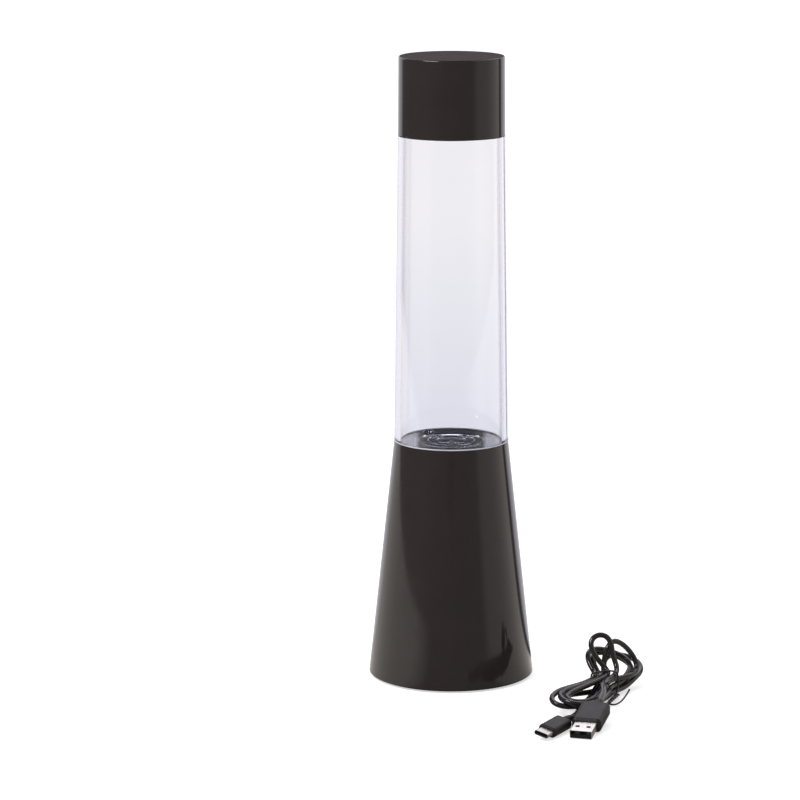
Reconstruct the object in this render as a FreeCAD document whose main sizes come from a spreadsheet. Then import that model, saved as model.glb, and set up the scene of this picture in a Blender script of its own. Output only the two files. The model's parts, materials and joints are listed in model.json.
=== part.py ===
import FreeCAD, Part
import math
import os

import Sketcher

# Liquid motion lamp: a clear water tube on a conical base, with a lift-off cap, an air pump
# and one light under the tube's floor, and the lamp's own power lead tied in a hank beside it.
# Millimetres, +Z up, origin at the centre of the footprint, front towards -Y.

Vec = FreeCAD.Vector
X_AXIS = Vec(1, 0, 0)
Y_AXIS = Vec(0, 1, 0)
Z_AXIS = Vec(0, 0, 1)

doc = FreeCAD.newDocument("liquid_motion_lamp")

# Driving dimensions

SIZES = {
    # outside
    "total_height": 350.0,
    "base_radius": 46.4,
    "rim_radius": 32.0,
    "rim_height": 134.8,
    "cap_joint_height": 306.3,
    "tube_top_radius": 29.75,
    "cap_radius": 29.65,
    "cap_top_radius": 29.35,
    "foot_height": 1.0,
    # base shell
    "shell_wall": 2.4,
    "mouth_radius": 30.4,
    "ledge_radius": 31.0,
    "ledge_height": 125.8,
    "foot_rounding": 0.8,
    "rim_rounding": 0.35,
    "boss_circle": 37.0,
    "boss_radius": 3.5,
    "boss_top": 20.0,
    "boss_pilot": 1.45,
    "boss_pilot_depth": 12.0,
    "rib_reach": 5.5,
    "rib_thickness": 2.0,
    # base plate and feet
    "plate_seat": 4.5,
    "plate_thickness": 2.5,
    "plate_radius": 44.4,
    "plate_clearance": 0.2,
    "plate_screw_hole": 1.6,
    "counterbore_radius": 3.2,
    "counterbore_depth": 1.3,
    "post_radius": 2.4,
    "strap_post_radius": 3.0,
    "vent_length": 22.0,
    "vent_width": 1.8,
    "vent_step": 4.0,
    "foot_circle": 36.0,
    "foot_radius": 5.0,
    "foot_taper": 0.6,
    "foot_socket": 1.0,
    # screws
    "plate_screw": 1.4,
    "plate_screw_head": 2.8,
    "deck_screw": 1.25,
    "deck_screw_head": 2.5,
    "strap_screw": 1.0,
    "strap_screw_head": 2.1,
    "small_screw": 0.8,
    "small_screw_head": 1.5,
    "pilot_slack": 0.05,
    "hole_slack": 0.15,
    # tube and its floor
    "tube_bore_bottom": 28.55,
    "tube_bore_top": 26.3,
    "spigot_radius": 30.3,
    "spigot_bottom": 127.8,
    "neck_radius": 27.9,
    "neck_length": 10.0,
    "shoulder_rounding": 0.3,
    "floor_thickness": 2.0,
    "floor_gap": 0.05,
    "skirt_wall": 1.55,
    "floor_post_radius": 2.6,
    "floor_screw_circle": 23.0,
    # deck and light under the floor
    "deck_radius": 30.7,
    "deck_thickness": 2.5,
    "deck_wall": 2.0,
    "platform_radius": 18.0,
    "platform_height": 129.8,
    "led_radius": 2.5,
    "led_flange": 2.9,
    "led_flange_height": 1.0,
    "led_top": 132.7,
    "led_lift": 1.4,
    "leg_side": 0.5,
    "leg_length": 4.0,
    "led_board_radius": 14.0,
    "led_board_top": 122.4,
    "board_thickness": 1.6,
    # air path
    "nozzle_across": -13.0,
    "nozzle_back": 19.5,
    "nozzle_radius": 2.5,
    "nozzle_head_radius": 3.6,
    "nozzle_tip_radius": 2.2,
    "nozzle_flange": 0.4,
    "nozzle_dome": 1.2,
    "nozzle_foot": 121.5,
    "barb_radius": 2.0,
    "barb_length": 6.0,
    "hose_bore": 2.05,
    "hose_radius": 3.0,
    "air_bore": 0.8,
    "valve_bottom": 72.0,
    "valve_top": 84.0,
    "valve_radius": 4.5,
    "valve_wall": 1.2,
    # pump
    "pump_axis_height": 30.0,
    "pump_across": -15.0,
    "pump_side": 20.0,
    "pump_wall": 2.0,
    "pump_screw_inset": 1.1,
    "crankcase_bottom": 18.0,
    "crankcase_top": 42.0,
    "head_top": 50.0,
    "cover_top": 54.0,
    "outlet_top": 62.0,
    "chamber_radius": 7.6,
    "diaphragm_thickness": 1.0,
    "port_across": 3.5,
    "port_radius": 0.9,
    "flap_radius": 1.7,
    "flap_thickness": 0.5,
    # motor, crank and rod
    "motor_radius": 10.0,
    "motor_length": 25.0,
    "motor_end_thickness": 2.4,
    "motor_collar_radius": 3.0,
    "motor_collar_length": 1.9,
    "terminal_length": 5.0,
    "terminal_width": 2.4,
    "terminal_height": 0.4,
    "shaft_radius": 1.0,
    "shaft_tail": 8.2,
    "crank_across": 2.8,
    "crank_radius": 5.0,
    "crank_thickness": 2.8,
    "crank_throw": 1.5,
    "crank_pin_radius": 1.2,
    "crank_pin_length": 5.4,
    "rod_eye_radius": 3.0,
    "rod_eye_width": 3.6,
    "rod_head_radius": 2.0,
    "running_clearance": 0.05,
    # cradle and strap
    "cradle_width": 18.0,
    "cradle_drop": 4.0,
    "strap_across": 8.0,
    "strap_width": 8.0,
    "strap_gap": 0.1,
    "strap_thickness": 1.0,
    "strap_span": 38.0,
    # power inlet and switch
    "inlet_height": 12.6,
    "inlet_face": 42.6,
    "control_board_top": 10.8,
    "control_board_length": 28.0,
    "control_board_width": 19.0,
    "control_board_back": 29.5,
    "switch_height": 34.0,
    "switch_tilt": 6.14,
    "rocker_throw": 9.0,
    # cap
    "cap_wall": 1.65,
    "cap_top_thickness": 2.2,
    "cap_rounding": 1.0,
    "cap_gap": 0.2,
    "seal_thickness": 1.0,
    "liner_thickness": 1.5,
    "plug_radius": 25.9,
    "plug_bore": 24.2,
    "plug_depth": 8.0,
    "vent_notch": 3.0,
    # lead
    "lead_radius": 1.5,
}

sheet = doc.addObject("Spreadsheet::Sheet", "Sizes")
for row, (alias, number) in enumerate(SIZES.items(), start=1):
    sheet.set("A%d" % row, alias)
    sheet.set("B%d" % row, str(number))
    sheet.setAlias("B%d" % row, alias)
doc.recompute()

pieces = {}


def value(text):
    """The number that an expression over the sheet gives."""
    return float(sheet.evalExpression(str(text)))


def bind(feature, **properties):
    """Binds properties to expressions; Base_x stands for Placement.Base.x."""
    for name, text in properties.items():
        path = name.replace("Base_", "Placement.Base.")
        feature.setExpression(path, str(text))
    return feature


def keep(label, feature):
    """Names a finished piece of the lamp."""
    feature.Label = label
    pieces[label] = feature
    return feature


# Sketched bodies


def outline(body, role, points):
    """A closed outline of straight sides whose corners are bound to the sheet."""
    sketch = body.newObject("Sketcher::SketchObject", "Outline")
    plane = [f for f in body.Origin.OriginFeatures if f.Role == role][0]
    sketch.AttachmentSupport = [(plane, "")]
    sketch.MapMode = "FlatFace"
    corners = [Vec(value(across), value(up), 0) for across, up in points]
    count = len(corners)
    for i in range(count):
        side = Part.LineSegment(corners[i], corners[(i + 1) % count])
        sketch.addGeometry(side, False)
    for i in range(count):
        sketch.addConstraint(Sketcher.Constraint("Coincident", i, 2, (i + 1) % count, 1))
    for i, (across, up) in enumerate(points):
        places = (("DistanceX", across, corners[i].x), ("DistanceY", up, corners[i].y))
        for kind, text, number in places:
            index = sketch.addConstraint(Sketcher.Constraint(kind, -1, 1, i, 1, number))
            sketch.setExpression("Constraints[%d]" % index, str(text))
    return sketch


def revolved(points):
    """A body turned about Z from corners given as (radius, height)."""
    body = doc.addObject("PartDesign::Body", "Body")
    sketch = outline(body, "XZ_Plane", points)
    turned = body.newObject("PartDesign::Revolution", "Turned")
    turned.Profile = sketch
    turned.ReferenceAxis = (sketch, ["V_Axis"])
    turned.Angle = 360
    return body


def padded(role, points, length):
    """A body padded evenly both ways from an outline."""
    body = doc.addObject("PartDesign::Body", "Body")
    sketch = outline(body, role, points)
    pad = body.newObject("PartDesign::Pad", "Block")
    pad.Profile = sketch
    pad.SideType = "Symmetric"
    pad.setExpression("Length", str(length))
    return body


def round_rims(body, radius, rims):
    """Rounds the circular edges found at the given (radius, height) pairs."""
    doc.recompute()
    base = body.Tip
    names = []
    for number, edge in enumerate(base.Shape.Edges, start=1):
        if not isinstance(edge.Curve, Part.Circle):
            continue
        for rim, height in rims:
            near = abs(edge.Curve.Radius - value(rim)) < 0.01
            if near and abs(edge.Curve.Center.z - value(height)) < 0.01:
                names.append("Edge%d" % number)
    fillet = body.newObject("PartDesign::Fillet", "Rounding")
    fillet.Base = (base, names)
    fillet.setExpression("Radius", str(radius))
    return body


# Primitives and booleans

TURNS = {
    "Z": FreeCAD.Rotation(),
    "X": FreeCAD.Rotation(Y_AXIS, 90),
    "Y": FreeCAD.Rotation(X_AXIS, -90),
    "-Z": FreeCAD.Rotation(X_AXIS, 180),
}


def place(feature, at, axis="Z"):
    feature.Placement = FreeCAD.Placement(Vec(), TURNS[axis])
    return bind(feature, Base_x=at[0], Base_y=at[1], Base_z=at[2])


def cylinder(radius, height, at, axis="Z"):
    part = doc.addObject("Part::Cylinder", "Cylinder")
    bind(part, Radius=radius, Height=height)
    return place(part, at, axis)


def cone(radius1, radius2, height, at, axis="Z"):
    part = doc.addObject("Part::Cone", "Cone")
    bind(part, Radius1=radius1, Radius2=radius2, Height=height)
    return place(part, at, axis)


def sphere(radius, at):
    part = doc.addObject("Part::Sphere", "Sphere")
    bind(part, Radius=radius)
    return place(part, at)


def box(size, at):
    """A box centred across X and Y on a point, rising from it."""
    part = doc.addObject("Part::Box", "Box")
    bind(part, Length=size[0], Width=size[1], Height=size[2])
    corner = ("%s - (%s) / 2" % (at[0], size[0]), "%s - (%s) / 2" % (at[1], size[1]), at[2])
    return place(part, corner)


def fuse(*parts):
    joined = doc.addObject("Part::MultiFuse", "Fused")
    joined.Shapes = list(parts)
    return joined


def cut(base, *tools):
    tool = tools[0] if len(tools) == 1 else fuse(*tools)
    rest = doc.addObject("Part::Cut", "Cut")
    rest.Base = base
    rest.Tool = tool
    return rest


def group(*parts):
    """Separate solids that share one node."""
    together = doc.addObject("Part::Compound", "Group")
    together.Links = list(parts)
    return together


def shift(text, amount):
    return "%s + (%s)" % (text, amount)


def on_circle(radius, degrees):
    """Expressions for a place on a circle about the lamp's axis."""
    angle = math.radians(degrees)
    return ("(%s) * %.6f" % (radius, math.cos(angle)), "(%s) * %.6f" % (radius, math.sin(angle)))


def rising_screw(spot, seat, length, shank, head, head_height):
    """A slotted screw driven upwards: its head hangs under the seat."""
    foot = (spot[0], spot[1], "%s - (%s)" % (seat, head_height))
    body = fuse(
        cylinder(shank, length, (spot[0], spot[1], seat)),
        cone("(%s) * 0.75" % head, head, head_height, foot),
    )
    slot = box(("(%s) * 1.2" % head, "(%s) * 0.3" % head, "(%s) * 0.5" % head_height), foot)
    return cut(body, slot)


def falling_screw(spot, seat, length, shank, head, head_height):
    """A screw driven downwards: its head stands on the seat."""
    tip = (spot[0], spot[1], "%s - (%s)" % (seat, length))
    top = (spot[0], spot[1], seat)
    return fuse(cylinder(shank, length, tip), cylinder(head, head_height, top))


# Tubes along a route


def arc_route(points):
    """Straight runs joined by tangent arcs, and the radius of each arc."""
    start = points[0]
    edges = []
    found = []
    for i in range(1, len(points) - 1):
        before = points[i - 1] - points[i]
        after = points[i + 1] - points[i]
        half = (math.pi - before.getAngle(after)) / 2
        reach = 0.45 * min(before.Length, after.Length)
        radius = reach / math.tan(half)
        found.append(radius)
        first = points[i] + before.normalize() * reach
        last = points[i] + after.normalize() * reach
        inward = (before + after).normalize()
        middle = points[i] + inward * (radius / math.cos(half) - radius)
        edges.append(Part.LineSegment(start, first).toShape())
        edges.append(Part.Arc(first, middle, last).toShape())
        start = last
    edges.append(Part.LineSegment(start, points[-1]).toShape())
    return Part.Wire(edges), found


def ring_wire(centre, direction, radius):
    return Part.Wire(Part.makeCircle(radius, centre, direction))


def tube_solid(path, radius):
    start = path.OrderedEdges[0]
    centre = start.valueAt(start.FirstParameter)
    direction = start.tangentAt(start.FirstParameter)
    return path.makePipeShell([ring_wire(centre, direction, radius)], True, False)


def tube_feature(label, points, radius, bore=0.0):
    """A round tube of set radius along a hand-chosen route."""
    path, radii = arc_route(points)
    solid = tube_solid(path, radius)
    if bore:
        solid = solid.cut(tube_solid(path, bore))
    ratio = solid.Volume / (math.pi * (radius**2 - bore**2) * path.Length)
    text = ", ".join("%.1f" % r for r in radii)
    print("%s: length %.1f, arc radii %s, volume ratio %.4f" % (label, path.Length, text, ratio))
    return keep(label, set_shape("Tube_" + label, solid))


# Shapes made directly: bars with rounded long edges


def set_shape(name, shape):
    feature = doc.addObject("Part::Feature", name)
    feature.Shape = shape
    return feature


def slot_bar(width, height, start, end, corner):
    """A bar along Y with rounded long edges, between two places."""
    bar = Part.makeBox(width, end - start, height, Vec(-width / 2, start, -height / 2))
    along = [e for e in bar.Edges if abs(e.tangentAt(e.FirstParameter).y) > 0.9]
    return bar.makeFillet(corner, along)


# Base: a moulded cone, open below, with a ledge under its mouth

BOSS_ANGLES = (30, 150, 270)
FOOT_ANGLES = (45, 135, 225, 315)
BOARD_POSTS = (("-11", "24"), ("11", "24"), ("-11", "36"), ("11", "36"))
STRAP_POSTS = (("Sizes.strap_across", "-15.5"), ("Sizes.strap_across", "15.5"))
VENT_PLACES = (-2, -1, 0, 1, 2)
BOARD_UNDER = "(Sizes.control_board_top - Sizes.board_thickness)"
STRAP_SEAT = "Sizes.crankcase_bottom"

# Width, height, start, end and corner radius of the inlet's hole, from the socket's face
INLET_HOLE = (12.6, 7.0, -4.0, 8.0, 2.4)
# Width, height, depth and front of the switch's hole and of the recess for its bezel
SWITCH_HOLE = (8.6, 13.4, 12.0, 4.0)
SWITCH_RECESS = (10.9, 15.4, 3.5, 3.0)


def cone_radius(height):
    """Outer radius of the base at a height, as an expression."""
    slope = "(Sizes.base_radius - Sizes.rim_radius) / (Sizes.rim_height - Sizes.foot_height)"
    return "(Sizes.base_radius - (%s - Sizes.foot_height) * %s)" % (height, slope)


def surface_frame():
    """Placement on the back of the cone at the switch, its Y axis along the outward normal."""
    back = value(cone_radius("Sizes.switch_height"))
    spot = Vec(0, back, value("Sizes.switch_height"))
    return FreeCAD.Placement(spot, FreeCAD.Rotation(X_AXIS, value("Sizes.switch_tilt")))


def switch_box(width, height, depth, front):
    """A box square to the cone at the switch: front is how far it stands out of the surface."""
    part = doc.addObject("Part::Box", "SwitchBox")
    bind(part, Length=width, Width=depth, Height=height)
    corner = Vec(-width / 2, front - depth, -height / 2)
    part.Placement = surface_frame().multiply(FreeCAD.Placement(corner, FreeCAD.Rotation()))
    return part


def boss_rib(degrees):
    """A web that ties a screw boss to the wall."""
    rib = doc.addObject("Part::Box", "Rib")
    height = "Sizes.boss_top - Sizes.plate_seat"
    bind(rib, Length="Sizes.rib_reach", Width="Sizes.rib_thickness", Height=height)
    turn = FreeCAD.Rotation(Z_AXIS, degrees)
    corner = Vec(value("Sizes.boss_circle"), -value("Sizes.rib_thickness") / 2, 0)
    rib.Placement = FreeCAD.Placement(turn.multVec(corner), turn)
    return bind(rib, Base_z="Sizes.plate_seat")


def make_base_shell():
    skin = revolved(
        [
            ("Sizes.base_radius", "Sizes.foot_height"),
            ("Sizes.rim_radius", "Sizes.rim_height"),
            ("Sizes.mouth_radius", "Sizes.rim_height"),
            ("Sizes.mouth_radius", "Sizes.ledge_height"),
            ("Sizes.ledge_radius", "Sizes.ledge_height"),
            (cone_radius("Sizes.plate_seat") + " - Sizes.shell_wall", "Sizes.plate_seat"),
            ("Sizes.plate_radius + Sizes.plate_clearance", "Sizes.plate_seat"),
            ("Sizes.plate_radius + Sizes.plate_clearance", "Sizes.foot_height"),
        ],
    )
    round_rims(skin, "Sizes.foot_rounding", [("Sizes.base_radius", "Sizes.foot_height")])
    round_rims(skin, "Sizes.rim_rounding", [("Sizes.rim_radius", "Sizes.rim_height")])
    solids = [skin]
    openings = []
    for degrees in BOSS_ANGLES:
        x, y = on_circle("Sizes.boss_circle", degrees)
        height = "Sizes.boss_top - Sizes.plate_seat"
        solids.append(cylinder("Sizes.boss_radius", height, (x, y, "Sizes.plate_seat")))
        solids.append(boss_rib(degrees))
        pilot = cylinder("Sizes.boss_pilot", "Sizes.boss_pilot_depth", (x, y, "Sizes.plate_seat"))
        openings.append(pilot)
    inlet = set_shape("InletHole", slot_bar(*INLET_HOLE))
    openings.append(place(inlet, ("0", "Sizes.inlet_face", "Sizes.inlet_height")))
    openings.append(switch_box(*SWITCH_HOLE))
    openings.append(switch_box(*SWITCH_RECESS))
    keep("base_shell", cut(fuse(*solids), *openings))


def make_base_plate():
    """The recessed underside with its posts, vents, screw seats and foot sockets."""
    low = "Sizes.plate_seat - Sizes.plate_thickness"
    seat = "Sizes.plate_seat"
    solids = [cylinder("Sizes.plate_radius", "Sizes.plate_thickness", ("0", "0", low))]
    openings = []
    posts = [(spot, "Sizes.post_radius", BOARD_UNDER, "Sizes.small_screw") for spot in BOARD_POSTS]
    posts += [(spot, "Sizes.strap_post_radius", STRAP_SEAT, "Sizes.strap_screw") for spot in STRAP_POSTS]
    for (x, y), radius, top, thread in posts:
        solids.append(cylinder(radius, "%s - %s" % (top, seat), (x, y, seat)))
        pilot = thread + " + Sizes.pilot_slack"
        openings.append(cylinder(pilot, "%s - %s" % (top, seat), (x, y, seat + " + 0.5")))
    for degrees in BOSS_ANGLES:
        x, y = on_circle("Sizes.boss_circle", degrees)
        openings.append(cylinder("Sizes.plate_screw_hole", "Sizes.plate_seat", (x, y, low)))
        openings.append(cylinder("Sizes.counterbore_radius", "Sizes.counterbore_depth", (x, y, low)))
    for degrees in FOOT_ANGLES:
        x, y = on_circle("Sizes.foot_circle", degrees)
        openings.append(cylinder("Sizes.foot_radius + 0.1", "Sizes.foot_socket", (x, y, low)))
    for i in VENT_PLACES:
        size = ("Sizes.vent_length", "Sizes.vent_width", "Sizes.plate_seat")
        openings.append(box(size, ("0", "%d * Sizes.vent_step" % i, low)))
    keep("base_plate", cut(fuse(*solids), *openings))


def make_base_fasteners():
    low = "Sizes.plate_seat - Sizes.plate_thickness"
    feet = []
    for degrees in FOOT_ANGLES:
        x, y = on_circle("Sizes.foot_circle", degrees)
        narrow = "Sizes.foot_radius - Sizes.foot_taper"
        feet.append(cone(narrow, "Sizes.foot_radius", low + " + Sizes.foot_socket", (x, y, "0")))
    keep("rubber_feet", group(*feet))
    seat = low + " + Sizes.counterbore_depth"
    size = ("9", "Sizes.plate_screw", "Sizes.plate_screw_head", "Sizes.counterbore_depth - 0.1")
    spots = [on_circle("Sizes.boss_circle", degrees) for degrees in BOSS_ANGLES]
    keep("base_screws", group(*[rising_screw(spot, seat, *size) for spot in spots]))


# Tube, its floor and the deck below it

FLOOR_SCREW_ANGLES = (30, 150, 270)
LEG_PLACES = ("-1.9", "-0.65", "0.65", "1.9")
LED_SCREW_PLACES = ("-10", "10")


def make_tube():
    tube = revolved(
        [
            ("Sizes.spigot_radius", "Sizes.spigot_bottom"),
            ("Sizes.spigot_radius", "Sizes.rim_height"),
            ("Sizes.rim_radius", "Sizes.rim_height"),
            ("Sizes.tube_top_radius", "Sizes.cap_joint_height"),
            ("Sizes.neck_radius", "Sizes.cap_joint_height"),
            ("Sizes.neck_radius", "Sizes.cap_joint_height + Sizes.neck_length"),
            ("Sizes.tube_bore_top", "Sizes.cap_joint_height + Sizes.neck_length"),
            ("Sizes.tube_bore_bottom", "Sizes.rim_height"),
            ("Sizes.tube_bore_bottom", "Sizes.spigot_bottom"),
        ],
    )
    shoulder = [("Sizes.tube_top_radius", "Sizes.cap_joint_height")]
    keep("tube", round_rims(tube, "Sizes.shoulder_rounding", shoulder))


def ridge(radius, base, height, width):
    """Corner points of a raised ring, for an outline that runs outwards."""
    return [
        ("(%s) - (%s)" % (radius, width), base),
        (radius, "%s + (%s)" % (base, height)),
        ("(%s) + (%s)" % (radius, width), base),
    ]


def make_tube_floor():
    """Clear disc glued into the tube's foot, with shallow rings above and a skirt below."""
    top = "Sizes.rim_height"
    under = "Sizes.rim_height - Sizes.floor_thickness"
    edge = "Sizes.tube_bore_bottom - Sizes.floor_gap"
    skirt = edge + " - Sizes.skirt_wall"
    foot = "Sizes.spigot_bottom"
    low = "Sizes.ledge_height"
    corners = [("0", under), ("0", top)]
    for radius in ("8", "13", "18"):
        corners += ridge(radius, top, "0.4", "0.5")
    corners += [(edge, top), (edge, foot), (skirt, foot), (skirt, under)]
    solids = [revolved(corners)]
    nozzle = ("Sizes.nozzle_across", "Sizes.nozzle_back", low)
    openings = [cylinder("Sizes.nozzle_radius + 0.1", "%s - %s + 1" % (top, low), nozzle)]
    for degrees in FLOOR_SCREW_ANGLES:
        x, y = on_circle("Sizes.floor_screw_circle", degrees)
        solids.append(cylinder("Sizes.floor_post_radius", "%s - %s" % (under, low), (x, y, low)))
        pilot = "Sizes.deck_screw + Sizes.pilot_slack"
        openings.append(cylinder(pilot, "%s - %s - 0.8" % (under, low), (x, y, low)))
    keep("tube_floor", cut(fuse(*solids), *openings))


def make_light_deck():
    """Black deck that holds the tube down and carries the light on a ringed platform."""
    top = "Sizes.ledge_height"
    under = "Sizes.ledge_height - Sizes.deck_thickness"
    plateau = "Sizes.platform_height"
    ceiling = plateau + " - Sizes.deck_wall"
    hole = "Sizes.led_radius + 0.2"
    side = "Sizes.platform_radius"
    corners = [(hole, plateau)]
    for radius in ("7.5", "12.5"):
        corners += ridge(radius, plateau, "0.7", "0.6")
    corners += [
        (side, plateau),
        (side + " + 1.0", top),
        ("Sizes.deck_radius", top),
        ("Sizes.deck_radius", under),
        (side + " - 1.0", under),
        (side + " - 1.6", ceiling),
        (hole, ceiling),
    ]
    solids = [revolved(corners)]
    through = "Sizes.deck_thickness + 2"
    nozzle = ("Sizes.nozzle_across", "Sizes.nozzle_back", under + " - 1")
    openings = [cylinder("Sizes.nozzle_radius + 0.3", through, nozzle)]
    board = "Sizes.led_board_top"
    for x in LED_SCREW_PLACES:
        solids.append(cylinder("Sizes.post_radius", "%s + 1.0 - %s" % (ceiling, board), (x, "0", board)))
        pilot = "Sizes.small_screw + Sizes.pilot_slack"
        openings.append(cylinder(pilot, "5", (x, "0", board)))
    for degrees in FLOOR_SCREW_ANGLES:
        x, y = on_circle("Sizes.floor_screw_circle", degrees)
        passage = "Sizes.deck_screw + Sizes.hole_slack"
        openings.append(cylinder(passage, through, (x, y, under + " - 1")))
    keep("light_deck", cut(fuse(*solids), *openings))


def make_tube_fixings():
    inner = "Sizes.tube_bore_bottom - Sizes.skirt_wall"
    outer = "Sizes.spigot_radius"
    low = "Sizes.ledge_height"
    high = "Sizes.spigot_bottom"
    keep("tube_gasket", revolved([(inner, low), (outer, low), (outer, high), (inner, high)]))
    seat = "Sizes.ledge_height - Sizes.deck_thickness"
    size = ("8", "Sizes.deck_screw", "Sizes.deck_screw_head", "1.2")
    spots = [on_circle("Sizes.floor_screw_circle", degrees) for degrees in FLOOR_SCREW_ANGLES]
    keep("deck_screws", group(*[rising_screw(spot, seat, *size) for spot in spots]))


def make_light():
    dome = "(Sizes.led_top - Sizes.led_radius)"
    board = "Sizes.led_board_top"
    foot = "(Sizes.led_board_top + Sizes.led_lift)"
    lens = fuse(
        cylinder("Sizes.led_radius", "%s - %s" % (dome, foot), ("0", "0", foot)),
        cylinder("Sizes.led_flange", "Sizes.led_flange_height", ("0", "0", foot)),
        sphere("Sizes.led_radius", ("0", "0", dome)),
    )
    keep("led", lens)
    leg = ("Sizes.leg_side", "Sizes.leg_side", "Sizes.leg_length")
    legs = [box(leg, (x, "0", foot + " - Sizes.leg_length")) for x in LEG_PLACES]
    keep("led_legs", group(*legs))
    low = board + " - Sizes.board_thickness"
    through = "Sizes.board_thickness + 1"
    slot = ("Sizes.leg_side + 0.1", "Sizes.leg_side + 0.1", through)
    disc = cylinder("Sizes.led_board_radius", "Sizes.board_thickness", ("0", "0", low))
    hole = "Sizes.small_screw + Sizes.hole_slack"
    holes = [cylinder(hole, through, (x, "0", low)) for x in LED_SCREW_PLACES]
    slots = [box(slot, (x, "0", low)) for x in LEG_PLACES]
    keep("led_board", cut(disc, *holes, *slots))
    size = ("5.5", "Sizes.small_screw", "Sizes.small_screw_head", "1.0")
    screws = [rising_screw((x, "0"), low, *size) for x in LED_SCREW_PLACES]
    keep("led_board_screws", group(*screws))


# Air path from the pump to the tube's floor


def make_air_nozzle():
    """Fitting through the floor, with a low domed head above and a hose barb below."""
    x = "Sizes.nozzle_across"
    y = "Sizes.nozzle_back"
    top = "Sizes.rim_height"
    foot = "Sizes.nozzle_foot"
    head = "Sizes.nozzle_head_radius"
    tip = foot + " - Sizes.barb_length + 0.5"
    dome = top + " + Sizes.nozzle_flange"
    body = fuse(
        cone(head, "Sizes.nozzle_tip_radius", "Sizes.nozzle_dome", (x, y, dome)),
        cylinder(head, "Sizes.nozzle_flange", (x, y, top)),
        cylinder("Sizes.nozzle_radius", "%s - %s" % (top, foot), (x, y, foot)),
        cylinder("Sizes.barb_radius", "Sizes.barb_length", (x, y, tip)),
    )
    length = "%s - %s + 10" % (top, foot)
    keep("air_nozzle", cut(body, cylinder("Sizes.air_bore", length, (x, y, tip + " - 1"))))


def make_check_valve():
    """Two welded cups round a duckbill that keeps the water out of the pump."""
    x = "Sizes.pump_across"
    low = "Sizes.valve_bottom"
    high = "Sizes.valve_top"
    middle = "(Sizes.valve_bottom + Sizes.valve_top) / 2"
    half = "(Sizes.valve_top - Sizes.valve_bottom) / 2"
    wall = "Sizes.valve_wall + 0.3"
    cavity = "Sizes.valve_radius - Sizes.valve_wall"
    barb = "Sizes.barb_length + 0.5"
    room = "%s - (%s)" % (half, wall)
    lower = fuse(
        cylinder("Sizes.valve_radius", half, (x, "0", low)),
        cylinder("Sizes.barb_radius", barb, (x, "0", low + " - Sizes.barb_length")),
    )
    lower_bore = cylinder("Sizes.air_bore", "Sizes.barb_length + 4", (x, "0", low + " - 7"))
    lower_room = cylinder(cavity, room + " + 0.5", (x, "0", "%s + %s" % (low, wall)))
    keep("valve_body", cut(lower, lower_bore, lower_room))
    upper = fuse(
        cylinder("Sizes.valve_radius", half, (x, "0", middle)),
        cylinder("Sizes.barb_radius", barb, (x, "0", high + " - 0.5")),
    )
    upper_bore = cylinder("Sizes.air_bore", "Sizes.barb_length + 4", (x, "0", high + " - 2"))
    upper_room = cylinder(cavity, room, (x, "0", middle))
    keep("valve_cap", cut(upper, upper_bore, upper_room))
    bill = fuse(
        cylinder(cavity + " - 0.1", "1.0", (x, "0", middle + " - 0.5")),
        cone("1.8", "0.7", "3.2", (x, "0", middle + " + 0.4")),
    )
    slit = box(("3", "0.2", "2.2"), (x, "0", middle + " + 1.6"))
    throat = cylinder("0.9", "2.2", (x, "0", middle + " - 0.5"))
    keep("valve_flap", cut(bill, slit, throat))


def make_hoses():
    x = "Sizes.pump_across"
    foot = "Sizes.cover_top + 1"
    outer = cylinder("Sizes.hose_radius", "Sizes.valve_bottom - 1 - (%s)" % foot, (x, "0", foot))
    inner = cylinder("Sizes.hose_bore", "Sizes.valve_bottom - Sizes.cover_top", (x, "0", foot))
    keep("hose_lower", cut(outer, inner))
    start = Vec(value(x), 0, value("Sizes.valve_top") + 0.4)
    end = Vec(value("Sizes.nozzle_across"), value("Sizes.nozzle_back"), value("Sizes.nozzle_foot") - 0.3)
    route = [start, start + Vec(0, 0, 12.6), end - Vec(0, 0, 10.7), end]
    tube_feature("hose_upper", route, value("Sizes.hose_radius"), value("Sizes.hose_bore"))


# Diaphragm air pump on its rubber cradle


PORT_SIDES = (1, -1)


def pump_block(width, low, high):
    """A square block of the pump between two heights."""
    return box((width, width, "%s - (%s)" % (high, low)), ("Sizes.pump_across", "0", low))


def pump_corners():
    """Places of the four long screws."""
    reach = "(Sizes.pump_side / 2 - Sizes.pump_screw_inset)"
    places = []
    for side_x, side_y in ((1, 1), (1, -1), (-1, 1), (-1, -1)):
        places.append(("Sizes.pump_across + %d * %s" % (side_x, reach), "%d * %s" % (side_y, reach)))
    return places


def screw_holes(radius, low, high):
    """Holes for the long screws between two heights."""
    return [cylinder(radius, "%s - (%s)" % (high, low), (x, y, low)) for x, y in pump_corners()]


def make_crankcase():
    low = "Sizes.crankcase_bottom"
    top = "Sizes.crankcase_top"
    room = "Sizes.pump_side - 2 * Sizes.pump_wall"
    wall = "Sizes.pump_across + Sizes.pump_side / 2"
    collar = (wall + " - Sizes.pump_wall - 1", "0", "Sizes.pump_axis_height")
    openings = [pump_block(room, low + " + Sizes.pump_wall", top + " + 1")]
    openings.append(cylinder("Sizes.motor_collar_radius + 0.1", "Sizes.pump_wall + 2", collar, "X"))
    openings += screw_holes("Sizes.small_screw + Sizes.pilot_slack", top + " - 6", top)
    keep("pump_body", cut(pump_block("Sizes.pump_side", low, top), *openings))


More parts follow.
